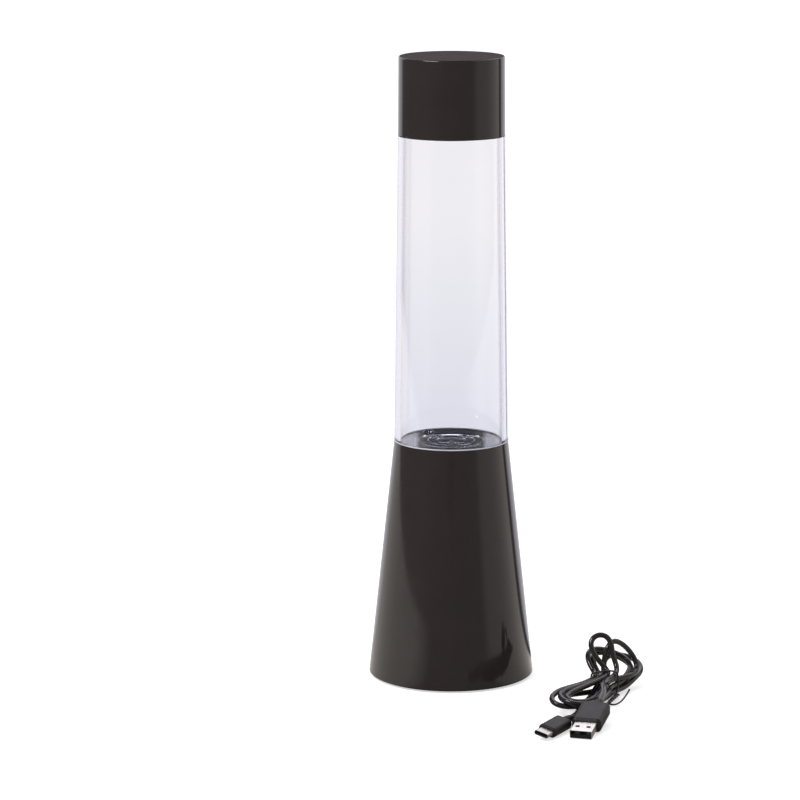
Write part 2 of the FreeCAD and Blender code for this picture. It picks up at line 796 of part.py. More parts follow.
def make_diaphragm():
    """Rubber disc: clamped rim, thin rolled ring and a hub that grips the rod's head."""
    rim = "(Sizes.pump_side / 2 - 0.4)"
    face = "Sizes.diaphragm_thickness"
    ring = "Sizes.chamber_radius"
    grip = "Sizes.rod_head_radius + 0.15"
    disc = revolved(
        [
            ("0", face),
            ("4.2", face),
            ("6.0", face + " - 0.3"),
            (ring, face),
            (rim, face),
            (rim, "0"),
            (ring, "0"),
            ("6.0", "-0.3"),
            ("4.2", "0"),
            ("3.4", "-3.4"),
            (grip, "-3.4"),
            (grip, "-0.4"),
            ("0", "-0.4"),
        ],
    )
    keep("diaphragm", place(disc, ("Sizes.pump_across", "0", "Sizes.crankcase_top")))


def make_pump_top():
    """Chamber head, cover with the outlet, two flaps between them and four long screws."""
    x = "Sizes.pump_across"
    top = "Sizes.crankcase_top"
    roof = "Sizes.head_top"
    lid = "Sizes.cover_top"
    clear = "Sizes.small_screw + Sizes.hole_slack"
    ports = [shift(x, "%d * Sizes.port_across" % side) for side in PORT_SIDES]
    rim = cylinder("Sizes.pump_side / 2 - 0.3", "Sizes.diaphragm_thickness", (x, "0", top))
    chamber = cylinder("Sizes.chamber_radius", "1.6", (x, "0", top + " + 0.9"))
    bores = [cylinder("Sizes.port_radius", "8", (port, "0", top + " + 1")) for port in ports]
    holes = screw_holes(clear, top + " - 1", roof + " + 1")
    keep("pump_head", cut(pump_block("Sizes.pump_side", top, roof), rim, chamber, *bores, *holes))

    flaps = [cylinder("Sizes.flap_radius", "Sizes.flap_thickness", (port, "0", roof)) for port in ports]
    keep("pump_flaps", group(*flaps))

    spigot_length = "Sizes.outlet_top - Sizes.cover_top + 0.5"
    spigot = cylinder("Sizes.barb_radius", spigot_length, (x, "0", lid + " - 0.5"))
    plenum = cylinder("5.6", "1.8", (x, "0", roof))
    outlet = cylinder("Sizes.air_bore", "12", (x, "0", roof + " + 1"))
    intake = cylinder("Sizes.air_bore", "8", (x, "-12", roof + " + 2.8"), "Y")
    holes = screw_holes(clear, roof + " - 1", lid + " + 1")
    cover = fuse(pump_block("Sizes.pump_side", roof, lid), spigot)
    keep("pump_cover", cut(cover, plenum, outlet, intake, *holes))

    size = ("15", "Sizes.small_screw", "Sizes.small_screw + 0.25", "0.9")
    keep("pump_screws", group(*[falling_screw(spot, lid, *size) for spot in pump_corners()]))


def make_motor():
    """Small brushed motor on the crankcase wall; its shaft turns in bushes at both ends."""
    front = "Sizes.pump_across + Sizes.pump_side / 2"
    rear = front + " + Sizes.motor_length"
    axis = "Sizes.pump_axis_height"
    bore = "Sizes.shaft_radius + Sizes.running_clearance"
    collar = (front + " - Sizes.motor_collar_length", "0", axis)
    can = fuse(
        cylinder("Sizes.motor_radius", "Sizes.motor_length", (front, "0", axis), "X"),
        cylinder("Sizes.motor_collar_radius", "Sizes.motor_collar_length + 0.1", collar, "X"),
    )
    through = "Sizes.motor_length + 2 * Sizes.motor_collar_length"
    keep("motor_can", cut(can, cylinder(bore, through + " + 4", (front + " - 3", "0", axis), "X")))
    terminal = ("Sizes.terminal_length", "Sizes.terminal_width", "Sizes.terminal_height")
    middle = rear + " + 1.0 + Sizes.terminal_length / 2"
    end = fuse(
        cylinder("Sizes.motor_radius - 0.8", "Sizes.motor_end_thickness", (rear, "0", axis), "X"),
        box(terminal, (middle, "0", axis + " + 5.5")),
        box(terminal, (middle, "0", axis + " - 5.5 - Sizes.terminal_height")),
    )
    keep("motor_end", cut(end, cylinder(bore, "2.0", (rear + " - 0.5", "0", axis), "X")))


def make_drive():
    """Shaft, crank and rod, with the crank pin at the top of its circle."""
    x = "Sizes.pump_across"
    axis = "Sizes.pump_axis_height"
    crank = "Sizes.pump_across + Sizes.crank_across"
    shaft_length = "Sizes.motor_length + Sizes.shaft_tail"
    keep("motor_shaft", cylinder("Sizes.shaft_radius", shaft_length, (crank, "0", axis), "X"))
    pin_height = axis + " + Sizes.crank_throw"
    pin_start = crank + " + 0.8 - Sizes.crank_pin_length"
    disc = fuse(
        cylinder("Sizes.crank_radius", "Sizes.crank_thickness", (crank + " + 0.4", "0", axis), "X"),
        cylinder("Sizes.crank_pin_radius", "Sizes.crank_pin_length", (pin_start, "0", pin_height), "X"),
    )
    press_bore = cylinder("Sizes.shaft_radius + 0.01", "6", (crank, "0", axis), "X")
    keep("crank", cut(disc, press_bore))

    eye = crank + " - Sizes.rod_eye_width - 0.4"
    neck_top = "Sizes.crankcase_top - 1.6"
    rod = fuse(
        cylinder("Sizes.rod_eye_radius", "Sizes.rod_eye_width", (eye, "0", pin_height), "X"),
        box(("2.4", "2.0", "%s - (%s)" % (neck_top, pin_height)), (x, "0", pin_height)),
        cylinder("Sizes.rod_head_radius", "1.6", (x, "0", neck_top + " - 0.5")),
    )
    eye_bore = "Sizes.crank_pin_radius + Sizes.running_clearance"
    keep("pump_rod", cut(rod, cylinder(eye_bore, "6", (eye + " - 1", "0", pin_height), "X")))


def make_pump_mount():
    """Rubber cradle under the pump and a steel strap over the motor."""
    x = "Sizes.pump_across"
    front = "(Sizes.pump_across + Sizes.pump_side / 2)"
    rear = "(Sizes.pump_across - Sizes.pump_side / 2)"
    axis = "Sizes.pump_axis_height"
    seat = "Sizes.plate_seat"
    length = "(Sizes.pump_side + Sizes.motor_length - 1.0)"
    size = (length, "Sizes.cradle_width", "%s - Sizes.cradle_drop - %s" % (axis, seat))
    block = box(size, ("%s + %s / 2" % (rear, length), "0", seat))
    pocket = box(("Sizes.pump_side + 0.1", "30", "20"), (x, "0", "Sizes.crankcase_bottom"))
    groove = cylinder("Sizes.motor_radius + 0.05", "60", (front + " - 1", "0", axis), "X")
    keep("pump_cradle", cut(block, pocket, groove))

    x = "Sizes.strap_across"
    width = "Sizes.strap_width"
    low = STRAP_SEAT
    inner = "Sizes.motor_radius + Sizes.strap_gap"
    outer = inner + " + Sizes.strap_thickness"
    arch = cylinder(outer, width, ("%s - %s / 2" % (x, width), "0", axis), "X")
    legs = box((width, "2 * (%s)" % outer, "%s - %s" % (axis, low)), (x, "0", low))
    ears = box((width, "Sizes.strap_span", "Sizes.strap_thickness"), (x, "0", low))
    through = width + " + 2"
    hollow = box((through, "2 * (%s)" % inner, "%s - %s + 1" % (axis, low)), (x, "0", low + " - 1"))
    bore = cylinder(inner, through, ("%s - (%s) / 2" % (x, through), "0", axis), "X")
    passage = ("Sizes.strap_screw + 0.2", "Sizes.strap_thickness + 2")
    holes = [cylinder(*passage, (px, py, low + " - 1")) for px, py in STRAP_POSTS]
    keep("pump_strap", cut(fuse(arch, legs, ears), hollow, bore, *holes))
    size = ("8.5", "Sizes.strap_screw", "Sizes.strap_screw_head", "1.3")
    top = low + " + Sizes.strap_thickness"
    keep("strap_screws", group(*[falling_screw(spot, top, *size) for spot in STRAP_POSTS]))


# Control board with the power inlet, and the rocker switch

# Size and place of each component on the board
BOARD_CHIP = (("5.0", "4.0", "1.6"), ("0", "26.5"))
LIGHT_PLUG = (("7.4", "4.6", "5.0"), ("8.5", "29.5"))
MOTOR_PLUG = (("7.4", "4.6", "5.0"), ("-8.5", "29.5"))
BOARD_CAPACITOR = (("3.0", "1.6", "1.0"), ("0", "22.0"))


def make_control_board():
    top = "Sizes.control_board_top"
    size = ("Sizes.control_board_length", "Sizes.control_board_width", "Sizes.board_thickness")
    board = box(size, ("0", "Sizes.control_board_back", BOARD_UNDER))
    hole = "Sizes.small_screw + Sizes.hole_slack"
    through = "Sizes.board_thickness + 2"
    holes = [cylinder(hole, through, (x, y, BOARD_UNDER + " - 1")) for x, y in BOARD_POSTS]
    keep("control_board", cut(board, *holes))
    components = (BOARD_CHIP, LIGHT_PLUG, MOTOR_PLUG, BOARD_CAPACITOR)
    keep("board_parts", group(*[box(size, (x, y, top)) for size, (x, y) in components]))
    size = ("5.5", "Sizes.small_screw", "Sizes.small_screw_head", "1.0")
    keep("board_screws", group(*[falling_screw(spot, top, *size) for spot in BOARD_POSTS]))


SOCKET_WIDTH = 8.94
SOCKET_HEIGHT = 3.26
SOCKET_WALL = 0.3
SOCKET_LENGTH = 7.3
SOCKET_BACK = 1.2


def make_power_socket():
    """Small oval power socket: a folded steel shell round a flat tongue."""
    width = SOCKET_WIDTH - 2 * SOCKET_WALL
    height = SOCKET_HEIGHT - 2 * SOCKET_WALL
    outer = slot_bar(SOCKET_WIDTH, SOCKET_HEIGHT, -SOCKET_LENGTH, 0, 1.5)
    inner = slot_bar(width, height, SOCKET_BACK - SOCKET_LENGTH, 1, 1.25)
    shell = set_shape("SocketShell", outer.cut(inner))
    keep("power_socket", place(shell, ("0", "Sizes.inlet_face", "Sizes.inlet_height")))
    tongue = set_shape("SocketTongue", Part.makeBox(6.7, 4.9, 0.7, Vec(-3.35, -6.1, -0.35)))
    keep("socket_tongue", place(tongue, ("0", "Sizes.inlet_face", "Sizes.inlet_height")))


ROCKER_PIVOT_DEPTH = -1.2
ROCKER_PIN_REACH = 3.9
TAB_SIDES = (-2.5, 2.5)
# Width, height, depth and front of each box, from the surface at the switch
SWITCH_BEZEL = (10.5, 15.0, 1.4, 0.9)
SWITCH_CASE = (8.2, 13.0, 8.6, -0.4)
SWITCH_WINDOW = (6.8, 11.4, 9.4, 1.9)
SWITCH_TAB = (0.8, 4.8, 6.0, -9.0)


def across_pin(radius, reach, at, frame):
    """A pin across the switch, centred on a point of its frame."""
    pin = doc.addObject("Part::Cylinder", "Pin")
    bind(pin, Radius=radius, Height=2 * reach)
    start = FreeCAD.Placement(at - X_AXIS * reach, FreeCAD.Rotation(Y_AXIS, 90))
    pin.Placement = frame.multiply(start)
    return pin


def make_switch():
    """Rocker switch on the back: bezel and body, rocker on its own pins, two tabs behind."""
    frame = surface_frame()
    pivot = Vec(0, ROCKER_PIVOT_DEPTH, 0)
    pin_hole = across_pin("0.85", ROCKER_PIN_REACH + 0.1, pivot, frame)
    case = fuse(switch_box(*SWITCH_BEZEL), switch_box(*SWITCH_CASE))
    keep("switch_body", cut(case, switch_box(*SWITCH_WINDOW), pin_hole))

    rocker = padded(
        "YZ_Plane",
        [
            ("-3.3", "-2.0"),
            ("0.6", "-5.2"),
            ("2.5", "-5.1"),
            ("1.8", "-2.6"),
            ("1.6", "0"),
            ("1.8", "2.6"),
            ("2.5", "5.1"),
            ("0.6", "5.2"),
            ("-3.3", "2.0"),
        ],
        "6.4",
    )
    axle = across_pin("0.8", ROCKER_PIN_REACH, Vec(), FreeCAD.Placement())
    whole = fuse(rocker, axle)
    turn = FreeCAD.Rotation(X_AXIS, value("Sizes.switch_tilt - Sizes.rocker_throw"))
    whole.Placement = FreeCAD.Placement(frame.multVec(pivot), turn)
    keep("switch_rocker", whole)

    tabs = []
    for side in TAB_SIDES:
        tab = switch_box(*SWITCH_TAB)
        tab.Placement.Base += X_AXIS * side
        tabs.append(tab)
    keep("switch_tabs", group(*tabs))


LIGHT_WIRE_RADIUS = 1.3
WIRE_RADIUS = 0.9


def make_wires():
    """Insulated leads inside the base, from the board to the light, the motor and the switch."""
    plug_top = value("Sizes.control_board_top") + 5.3
    chip_top = value("Sizes.control_board_top") + 1.85
    light = value("Sizes.led_board_top - Sizes.board_thickness")
    led_route = [
        Vec(8.5, 29.5, plug_top),
        Vec(9.5, 28.5, 24),
        Vec(20, 24, 40),
        Vec(23, 15, 66),
        Vec(18, 8, 92),
        Vec(6, 6, 108),
        Vec(6, 6, light),
    ]
    tube_feature("led_wires", led_route, LIGHT_WIRE_RADIUS)
    rear = value("Sizes.pump_across + Sizes.pump_side / 2 + Sizes.motor_length")
    axis = value("Sizes.pump_axis_height")
    motor_route = [
        Vec(-8.5, 29.5, plug_top),
        Vec(-8.5, 28.0, 24),
        Vec(2, 20, 36),
        Vec(22, 18, 44),
        Vec(33, 8, 40),
        Vec(rear + 7.0, 0, axis + 5.9),
    ]
    tube_feature("motor_wires", motor_route, WIRE_RADIUS)
    switch_route = [Vec(0, 26.5, chip_top), Vec(0, 26.2, 17), Vec(0, 24.5, 24), Vec(0, 27.4, 31.5)]
    tube_feature("switch_wires", switch_route, WIRE_RADIUS)


# Lift-off cap


def make_cap():
    low = "(Sizes.cap_joint_height + Sizes.cap_gap)"
    neck_top = "(Sizes.cap_joint_height + Sizes.neck_length)"
    bore = "(Sizes.neck_radius + 0.1)"
    seat = neck_top + " + Sizes.seal_thickness"
    ceiling = "Sizes.total_height - Sizes.cap_top_thickness"
    shell = revolved(
        [
            ("0", "Sizes.total_height"),
            ("Sizes.cap_top_radius", "Sizes.total_height"),
            ("Sizes.cap_radius", low),
            (bore, low),
            (bore, seat + " + Sizes.liner_thickness"),
            (bore + " - 0.4", seat + " + Sizes.liner_thickness"),
            ("Sizes.cap_top_radius - Sizes.cap_wall", ceiling),
            ("0", ceiling),
        ],
    )
    round_rims(shell, "Sizes.cap_rounding", [("Sizes.cap_top_radius", "Sizes.total_height")])
    vent = box(("Sizes.vent_notch", "1.4", "Sizes.neck_length + 1"), ("0", bore, low + " - 0.5"))
    keep("cap_shell", cut(shell, vent))
    tip = neck_top + " - Sizes.plug_depth"
    liner = revolved(
        [
            ("0", seat),
            ("0", seat + " + Sizes.liner_thickness"),
            (bore + " - 0.05", seat + " + Sizes.liner_thickness"),
            (bore + " - 0.05", seat),
            ("Sizes.plug_radius", seat),
            ("Sizes.plug_radius", tip),
            ("Sizes.plug_bore", tip),
            ("Sizes.plug_bore", seat),
        ],
    )
    keep("cap_liner", liner)
    ring = revolved(
        [
            ("Sizes.plug_radius + 0.05", neck_top),
            ("Sizes.neck_radius - 0.1", neck_top),
            ("Sizes.neck_radius - 0.1", seat),
            ("Sizes.plug_radius + 0.05", seat),
        ],
    )
    notch_size = ("Sizes.vent_notch", "6.0", "Sizes.seal_thickness")
    notch = box(notch_size, ("0", "Sizes.neck_radius", neck_top))
    keep("cap_seal", cut(ring, notch))


# Power lead beside the lamp: a hank tied at its waist, with a plug on each end

LEAD_WAIST = Vec(83.9, -44.1, 0)
LEAD_HEADING = 69.7
FLOOR_GAP = 0.1
HANK_TURNS = 4.5
ARCS_PER_TURN = 8
INNER_SLOT = 2.2
SLOT_STEP = 3.8
UPPER_SLOT = 0.6
LAYER_STEP = 4.05
LAYER_STARTS = (1.5, 2.5, 3.5)
WAIST_LIFT = 1.8
BULGE = 2.15
BULGE_POWER = 1.4

# Each loop in winding order: length, half width, rise, swing and roll, in mm and degrees
BACK_LOOPS = (
    (29.5, 6.3, 16.3, -13.1, 43.9),
    (32.0, 10.3, 26.2, -10.0, -17.0),
    (25.7, 4.6, 28.6, 28.6, -63.6),
    (25.3, 8.1, 34.5, -19.3, 33.2),
    (20.5, 7.7, 48.3, -8.9, 32.4),
)
# Length, half width, height gained at the tip and swing
FRONT_LOOPS = (
    (44.8, 4.4, 3.7, -8.9),
    (49.2, 8.3, 2.8, -11.4),
    (55.1, 8.4, 1.9, -2.2),
    (52.0, 4.4, -0.1, -2.0),
)


def ramp(amount):
    """Smooth step from 0 to 1."""
    t = min(max(amount, 0.0), 1.0)
    return t**3 * (10 + t * (6 * t - 15))


def hank_local(along, aside, height):
    """A point given along and across the hank from its waist."""
    heading = math.radians(LEAD_HEADING)
    x = along * math.cos(heading) - aside * math.sin(heading)
    y = along * math.sin(heading) + aside * math.cos(heading)
    return LEAD_WAIST + Vec(x, y, height)


def loop_slot(turn):
    """Place across the waist, in steps: two side by side at first, then all in one column."""
    if turn <= LAYER_STARTS[0]:
        return turn
    blend = ramp((turn - LAYER_STARTS[0]) / 0.5)
    return UPPER_SLOT + (LAYER_STARTS[0] - UPPER_SLOT) * (1 - blend)


def hank_point(turn):
    """A point of the wound lead; whole turns pass the waist on its left, half turns on its right."""
    angle = math.pi / 2 - 2 * math.pi * turn
    reach = abs(math.cos(angle))
    across = math.sin(angle)
    if math.cos(angle) >= 0:
        length, width, rise, swing, roll = BACK_LOOPS[min(int(turn), len(BACK_LOOPS) - 1)]
        side, lift = 1, 0.0
    else:
        length, width, lift, swing = FRONT_LOOPS[min(int(turn - 0.5), len(FRONT_LOOPS) - 1)]
        side, rise, roll = -1, 0.0, 0.0
    swing = math.radians(swing) * ramp(reach / 0.6)
    rise = math.radians(rise) * ramp(reach / 0.6)
    roll = math.radians(roll) * ramp(reach / 0.85)
    layer = sum(ramp((turn - start) / 0.5) for start in LAYER_STARTS)
    bulge = width * BULGE * across * reach**BULGE_POWER
    along = side * (length * reach * math.cos(rise) - bulge * math.sin(roll) * math.sin(rise))
    aside = across * (INNER_SLOT + SLOT_STEP * loop_slot(turn)) + bulge * math.cos(roll)
    height = value("Sizes.lead_radius") + FLOOR_GAP + LAYER_STEP * layer
    height += WAIST_LIFT * (1 - ramp(reach / 0.5)) + lift * ramp(reach / 0.9)
    height += length * reach * math.sin(rise) + bulge * math.sin(roll) * math.cos(rise)
    turned_along = along * math.cos(swing) - aside * math.sin(swing)
    turned_aside = along * math.sin(swing) + aside * math.cos(swing)
    return hank_local(turned_along, turned_aside, height)


def unit(vector):
    return Vec(vector).normalize()


def hank_heading(turn):
    """Unit tangent of the wound lead; level where it leaves the hank."""
    ahead = hank_point(min(turn + 1e-4, HANK_TURNS))
    behind = hank_point(max(turn - 1e-4, 0.0))
    course = ahead - behind
    if turn in (0.0, HANK_TURNS):
        course.z = 0
    return unit(course)


def tangent_arc(start, heading, end):
    """An arc from a point along a heading to another point, and its radius."""
    chord = end - start
    half = chord.getAngle(heading)
    radius = chord.Length / (2 * math.sin(half))
    inward = unit(chord - heading * (chord.dot(heading)))
    centre = start + inward * radius
    middle = (start + end) / 2 - centre
    return Part.Arc(start, centre + middle.normalize() * radius, end), radius


def biarc(start, heading, end, final):
    """Two arcs that meet on a shared tangent."""
    chord = end - start
    both = chord.dot(heading + final)
    spread = 2 * (1 - heading.dot(final))
    reach = (math.sqrt(both**2 + spread * chord.Length**2) - both) / spread
    joint = (start + end + (heading - final) * reach) / 2
    shared = unit(chord - (heading + final) * reach)
    first, radius1 = tangent_arc(start, heading, joint)
    second, radius2 = tangent_arc(joint, shared, end)
    return [first, second], [radius1, radius2]


def hank_path():
    """The whole winding: a straight end, biarcs through the loops, and the other straight end."""
    steps = int(HANK_TURNS * ARCS_PER_TURN)
    turns = [i / ARCS_PER_TURN for i in range(steps + 1)]
    points = [hank_point(t) for t in turns]
    courses = [hank_heading(t) for t in turns]
    straight = 2 * value("Sizes.lead_radius")
    edges = [Part.LineSegment(points[0] - courses[0] * straight, points[0])]
    radii = []
    for i in range(steps):
        arcs, found = biarc(points[i], courses[i], points[i + 1], courses[i + 1])
        edges += arcs
        radii += found
    edges.append(Part.LineSegment(points[-1], points[-1] + courses[-1] * straight))
    return Part.Wire([edge.toShape() for edge in edges]), radii


def least_gap(path, radius, spacing=1.0):
    """Smallest space between parts of a tube more than four of its diameters apart along it."""
    count = int(path.Length / spacing)
    marks = path.discretize(count + 1)
    apart = int(8 * radius / spacing) + 1
    least = path.Length
    for i, point in enumerate(marks):
        for other in marks[i + apart :]:
            least = min(least, (other - point).Length)
    return least - 2 * radius


LEAST_ALLOWED_GAP = 0.4


def make_hank():
    """The wound part of the lead, and the two places where its free stretches begin."""
    radius = value("Sizes.lead_radius")
    path, radii = hank_path()
    solid = tube_solid(path, radius)
    ratio = solid.Volume / (math.pi * radius**2 * path.Length)
    gap = least_gap(path, radius)
    print("lead_hank: length %.1f, least radius %.1f" % (path.Length, min(radii)))
    print("lead_hank: least gap to itself %.2f, volume ratio %.4f" % (gap, ratio))
    if gap <= LEAST_ALLOWED_GAP:
        raise RuntimeError("the hank's turns lie too close")
    keep("lead_hank", set_shape("Tube_lead_hank", solid))
    ends = path.OrderedVertexes
    return ends[0].Point, ends[-1].Point


def plug_frame(at, yaw, tilt, roll):
    """Placement of a plug: its cord leaves along +Y of this frame, its nose points along -Y."""
    turn = FreeCAD.Rotation(Z_AXIS, yaw)
    turn = turn * FreeCAD.Rotation(X_AXIS, tilt) * FreeCAD.Rotation(Y_AXIS, roll)
    return FreeCAD.Placement(at, turn)


USB_A_PLUG = plug_frame(Vec(77.0, -101.5, 7.8), -16.5, 8.4, 0)
USB_C_PLUG = plug_frame(Vec(58.7, -115.4, 3.8), -29.0, 0, 12.8)

PLUG_RELIEF = 8.0
RELIEF_RIBS = 4
RIB_WIDTH = 1.3


def relief_pieces(wide, depth):
    """Strain relief: a slim core and ribs that narrow towards the cord."""
    narrow = value("Sizes.lead_radius") + 0.5
    core = value("Sizes.lead_radius") + 0.25
    solids = [Part.makeCylinder(core, PLUG_RELIEF + depth, Vec(0, -depth, 0), Y_AXIS)]
    step = PLUG_RELIEF / RELIEF_RIBS
    for i in range(RELIEF_RIBS):
        radius = wide + (narrow - wide) * i / (RELIEF_RIBS - 1)
        solids.append(Part.makeCylinder(radius, RIB_WIDTH, Vec(0, i * step, 0), Y_AXIS))
    solids.append(Part.makeCylinder(wide, depth, Vec(0, -depth, 0), Y_AXIS))
    return solids


def plug_body(width, thickness, length, corner, bevel, shoulder):
    """Overmould with rounded sides, a bevelled front and rounded shoulders before its relief."""
    block = slot_bar(width, thickness, -length, 0, corner)
    rear = [e for e in block.Edges if e.BoundBox.YMin > -0.01]
    block = block.makeFillet(shoulder, rear)
    front = [e for e in block.Edges if e.BoundBox.YMax < 0.01 - length]
    block = block.makeChamfer(bevel, front)
    return block.fuse(relief_pieces(thickness / 2 - 0.3, shoulder)).removeSplitter()


def plug_piece(label, shape, frame):
    feature = set_shape("Plug_" + label, shape)
    feature.Placement = frame
    return keep(label, feature)


# Lengths of the overmoulds, and how far each metal shell stands out of its overmould
USB_A_BODY = 24.0
USB_A_REACH = 12.0
USB_C_BODY = 20.0
USB_C_REACH = 6.65


def make_usb_a_plug():
    """Flat plug: folded steel shell with two windows above and below, and a tongue inside."""
    root = -USB_A_BODY
    nose = root - USB_A_REACH
    overmould = plug_body(16.0, 8.0, USB_A_BODY, 2.4, 1.3, 1.8)
    plug_piece("usb_a_overmould", overmould, USB_A_PLUG)
    shell = slot_bar(12.0, 4.5, nose, root, 0.6)
    shell = shell.cut(slot_bar(11.4, 3.9, nose - 1, root + 1, 0.3))
    for side in (-3.0, 3.0):
        shell = shell.cut(Part.makeBox(2.2, 2.2, 8.0, Vec(side - 1.1, nose + 4.6, -4.0)))
    plug_piece("usb_a_shell", shell, USB_A_PLUG)
    tongue = Part.makeBox(11.0, 11.6, 1.7, Vec(-5.5, root - 11.6, -1.85))
    plug_piece("usb_a_tongue", tongue, USB_A_PLUG)


def make_usb_c_plug():
    """Small oval plug: drawn steel shell and a liner with the slot for the socket's tongue."""
    root = -USB_C_BODY
    nose = root - USB_C_REACH
    overmould = plug_body(10.6, 5.8, USB_C_BODY, 2.6, 0.9, 1.0)
    plug_piece("usb_c_overmould", overmould, USB_C_PLUG)
    shell = slot_bar(8.3, 2.6, nose, root, 1.2)
    shell = shell.cut(slot_bar(7.7, 2.0, nose - 1, root + 1, 0.9))
    plug_piece("usb_c_shell", shell, USB_C_PLUG)
    liner = slot_bar(7.6, 1.9, nose + 0.4, root, 0.85)
    liner = liner.cut(slot_bar(6.8, 0.9, nose - 1, root - 1.0, 0.3))
    plug_piece("usb_c_liner", liner, USB_C_PLUG)


def relief_end(frame):
    """Where the cord enters a plug's strain relief, and the direction it leaves in."""
    out = frame.Rotation.multVec(Y_AXIS)
    return frame.multVec(Vec(0, PLUG_RELIEF, 0)), out


def make_tails(hank_start, hank_end):
    """The two free stretches, from the hank's faces to the plugs."""
    radius = value("Sizes.lead_radius")
    floor = radius + FLOOR_GAP
    end, out = relief_end(USB_C_PLUG)
    route = [
        hank_start,
        hank_start - hank_heading(0.0) * 8.0,
        hank_local(-20.0, 1.8, floor),
        hank_local(-33.0, 1.4, floor),
        hank_local(-44.5, 0.4, floor + 0.2),
        end + out * 8.5,
        end,
    ]
    tube_feature("lead_tail_usb_c", route, radius)
    end, out = relief_end(USB_A_PLUG)
    course = hank_heading(HANK_TURNS)
    route = [hank_end, hank_end + course * 13.0, end + out * 12.5, end]
    tube_feature("lead_tail_usb_a", route, radius)


TIE_RADIUS = 0.5
TIE_TWIST = 0.72
TIE_STEP = 0.85
TIE_STEPS = 17
TIE_START = Vec(-5.0, -12.3, 3.2)
TIE_DRIFT = Vec(-1.0, -0.06, -0.04)

# The ring round the waist, as places across it and heights
TIE_RING = (
    (-10.4, 7.2),
    (-7.3, 16.5),
    (-4.8, 18.1),
    (4.8, 18.1),
    (7.3, 16.5),
    (8.7, 6.4),
    (8.7, 2.6),
    (6.6, 0.75),
    (-8.6, 0.75),
)
# The two loose ends, along and across the hank and in height
TIE_LONG_END = ((-20.6, -13.9, 1.5), (-21.4, -16.6, 1.6), (-21.0, -20.0, 3.0), (-19.8, -23.4, 7.5))
TIE_SHORT_END = ((-20.6, -12.7, 3.7), (-23.4, -12.4, 3.0))


def tie_strand(side):
    """One strand of the twisted part, beside the front of the waist."""
    points = []
    for i in range(TIE_STEPS):
        angle = math.pi / 9 + side * math.pi - math.pi * i / 3
        at = TIE_START + TIE_DRIFT * (TIE_STEP * i)
        across = at.y + TIE_TWIST * math.cos(angle)
        points.append(hank_local(at.x, across, at.z + TIE_TWIST * math.sin(angle)))
    return points


def make_twist_tie():
    """One plastic-coated wire: round the waist, twisted on itself, then two loose ends."""
    ring = [hank_local(0, aside, height) for aside, height in TIE_RING]
    long_end = [hank_local(*spot) for spot in TIE_LONG_END]
    short_end = [hank_local(*spot) for spot in TIE_SHORT_END]
    route = short_end[::-1] + tie_strand(0)[::-1] + ring + tie_strand(1) + long_end
    tube_feature("twist_tie", route, TIE_RADIUS)


# Build, test and write


def build():
    make_base_shell()
    make_base_plate()
    make_base_fasteners()
    make_tube()
    make_tube_floor()
    make_light_deck()
    make_tube_fixings()
    make_light()
    make_air_nozzle()
    make_check_valve()
    make_hoses()
    make_crankcase()
    make_diaphragm()
    make_pump_top()
    make_motor()
    make_drive()
    make_pump_mount()
    make_control_board()
    make_power_socket()
    make_switch()
    make_wires()
    make_cap()
    hank_start, hank_end = make_hank()
    make_tails(hank_start, hank_end)
    make_usb_a_plug()
    make_usb_c_plug()
    make_twist_tie()


def test():
    """Stops if a feature failed or a piece is empty or invalid."""
    for feature in doc.Objects:
        states = " ".join(feature.State)
        if "Invalid" in states or "Error" in states:
            raise RuntimeError("%s is %s" % (feature.Name, states))
    for label, feature in pieces.items():
        shape = feature.Shape
        if shape.isNull() or not shape.isValid() or shape.Volume <= 0 or not shape.Solids:
            raise RuntimeError("%s has no valid solid" % label)


def write():
    os.makedirs("parts", exist_ok=True)
    for label, feature in pieces.items():
        feature.Shape.exportStep("parts/%s.step" % label)
        bounds = feature.Shape.BoundBox
        print(
            "%-18s %2d solids %10.1f mm3  z %6.1f to %6.1f"
            % (label, len(feature.Shape.Solids), feature.Shape.Volume, bounds.ZMin, bounds.ZMax)
        )


build()
doc.recompute()
test()
write()
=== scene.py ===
import json
import math

import bpy
from mathutils import Matrix, Quaternion, Vector


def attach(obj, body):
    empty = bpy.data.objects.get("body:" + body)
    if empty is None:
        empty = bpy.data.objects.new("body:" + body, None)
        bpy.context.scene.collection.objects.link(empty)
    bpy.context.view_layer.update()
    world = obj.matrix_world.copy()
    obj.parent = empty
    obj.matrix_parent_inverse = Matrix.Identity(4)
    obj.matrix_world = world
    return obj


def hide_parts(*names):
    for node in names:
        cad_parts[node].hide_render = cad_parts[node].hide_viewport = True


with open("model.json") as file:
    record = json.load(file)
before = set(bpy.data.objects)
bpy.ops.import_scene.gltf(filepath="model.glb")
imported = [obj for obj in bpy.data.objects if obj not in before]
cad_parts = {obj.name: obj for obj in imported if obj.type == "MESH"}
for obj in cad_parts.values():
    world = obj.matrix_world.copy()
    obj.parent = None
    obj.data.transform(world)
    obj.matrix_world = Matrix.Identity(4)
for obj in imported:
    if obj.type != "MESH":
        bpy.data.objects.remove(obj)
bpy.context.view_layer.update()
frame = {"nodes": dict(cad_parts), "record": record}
nodes = frame["nodes"]
scene = bpy.context.scene
scene.view_settings.view_transform = "Standard"

MM = 0.001

# Camera at the photograph's angle, with a trace of roll

CAMERA_PLACE = (-0.0287, -1.934, 0.5346)
CAMERA_PITCH = 78.959
CAMERA_ROLL = -0.0905
LENS_LENGTH = 158.355
SENSOR_WIDTH = 36.0


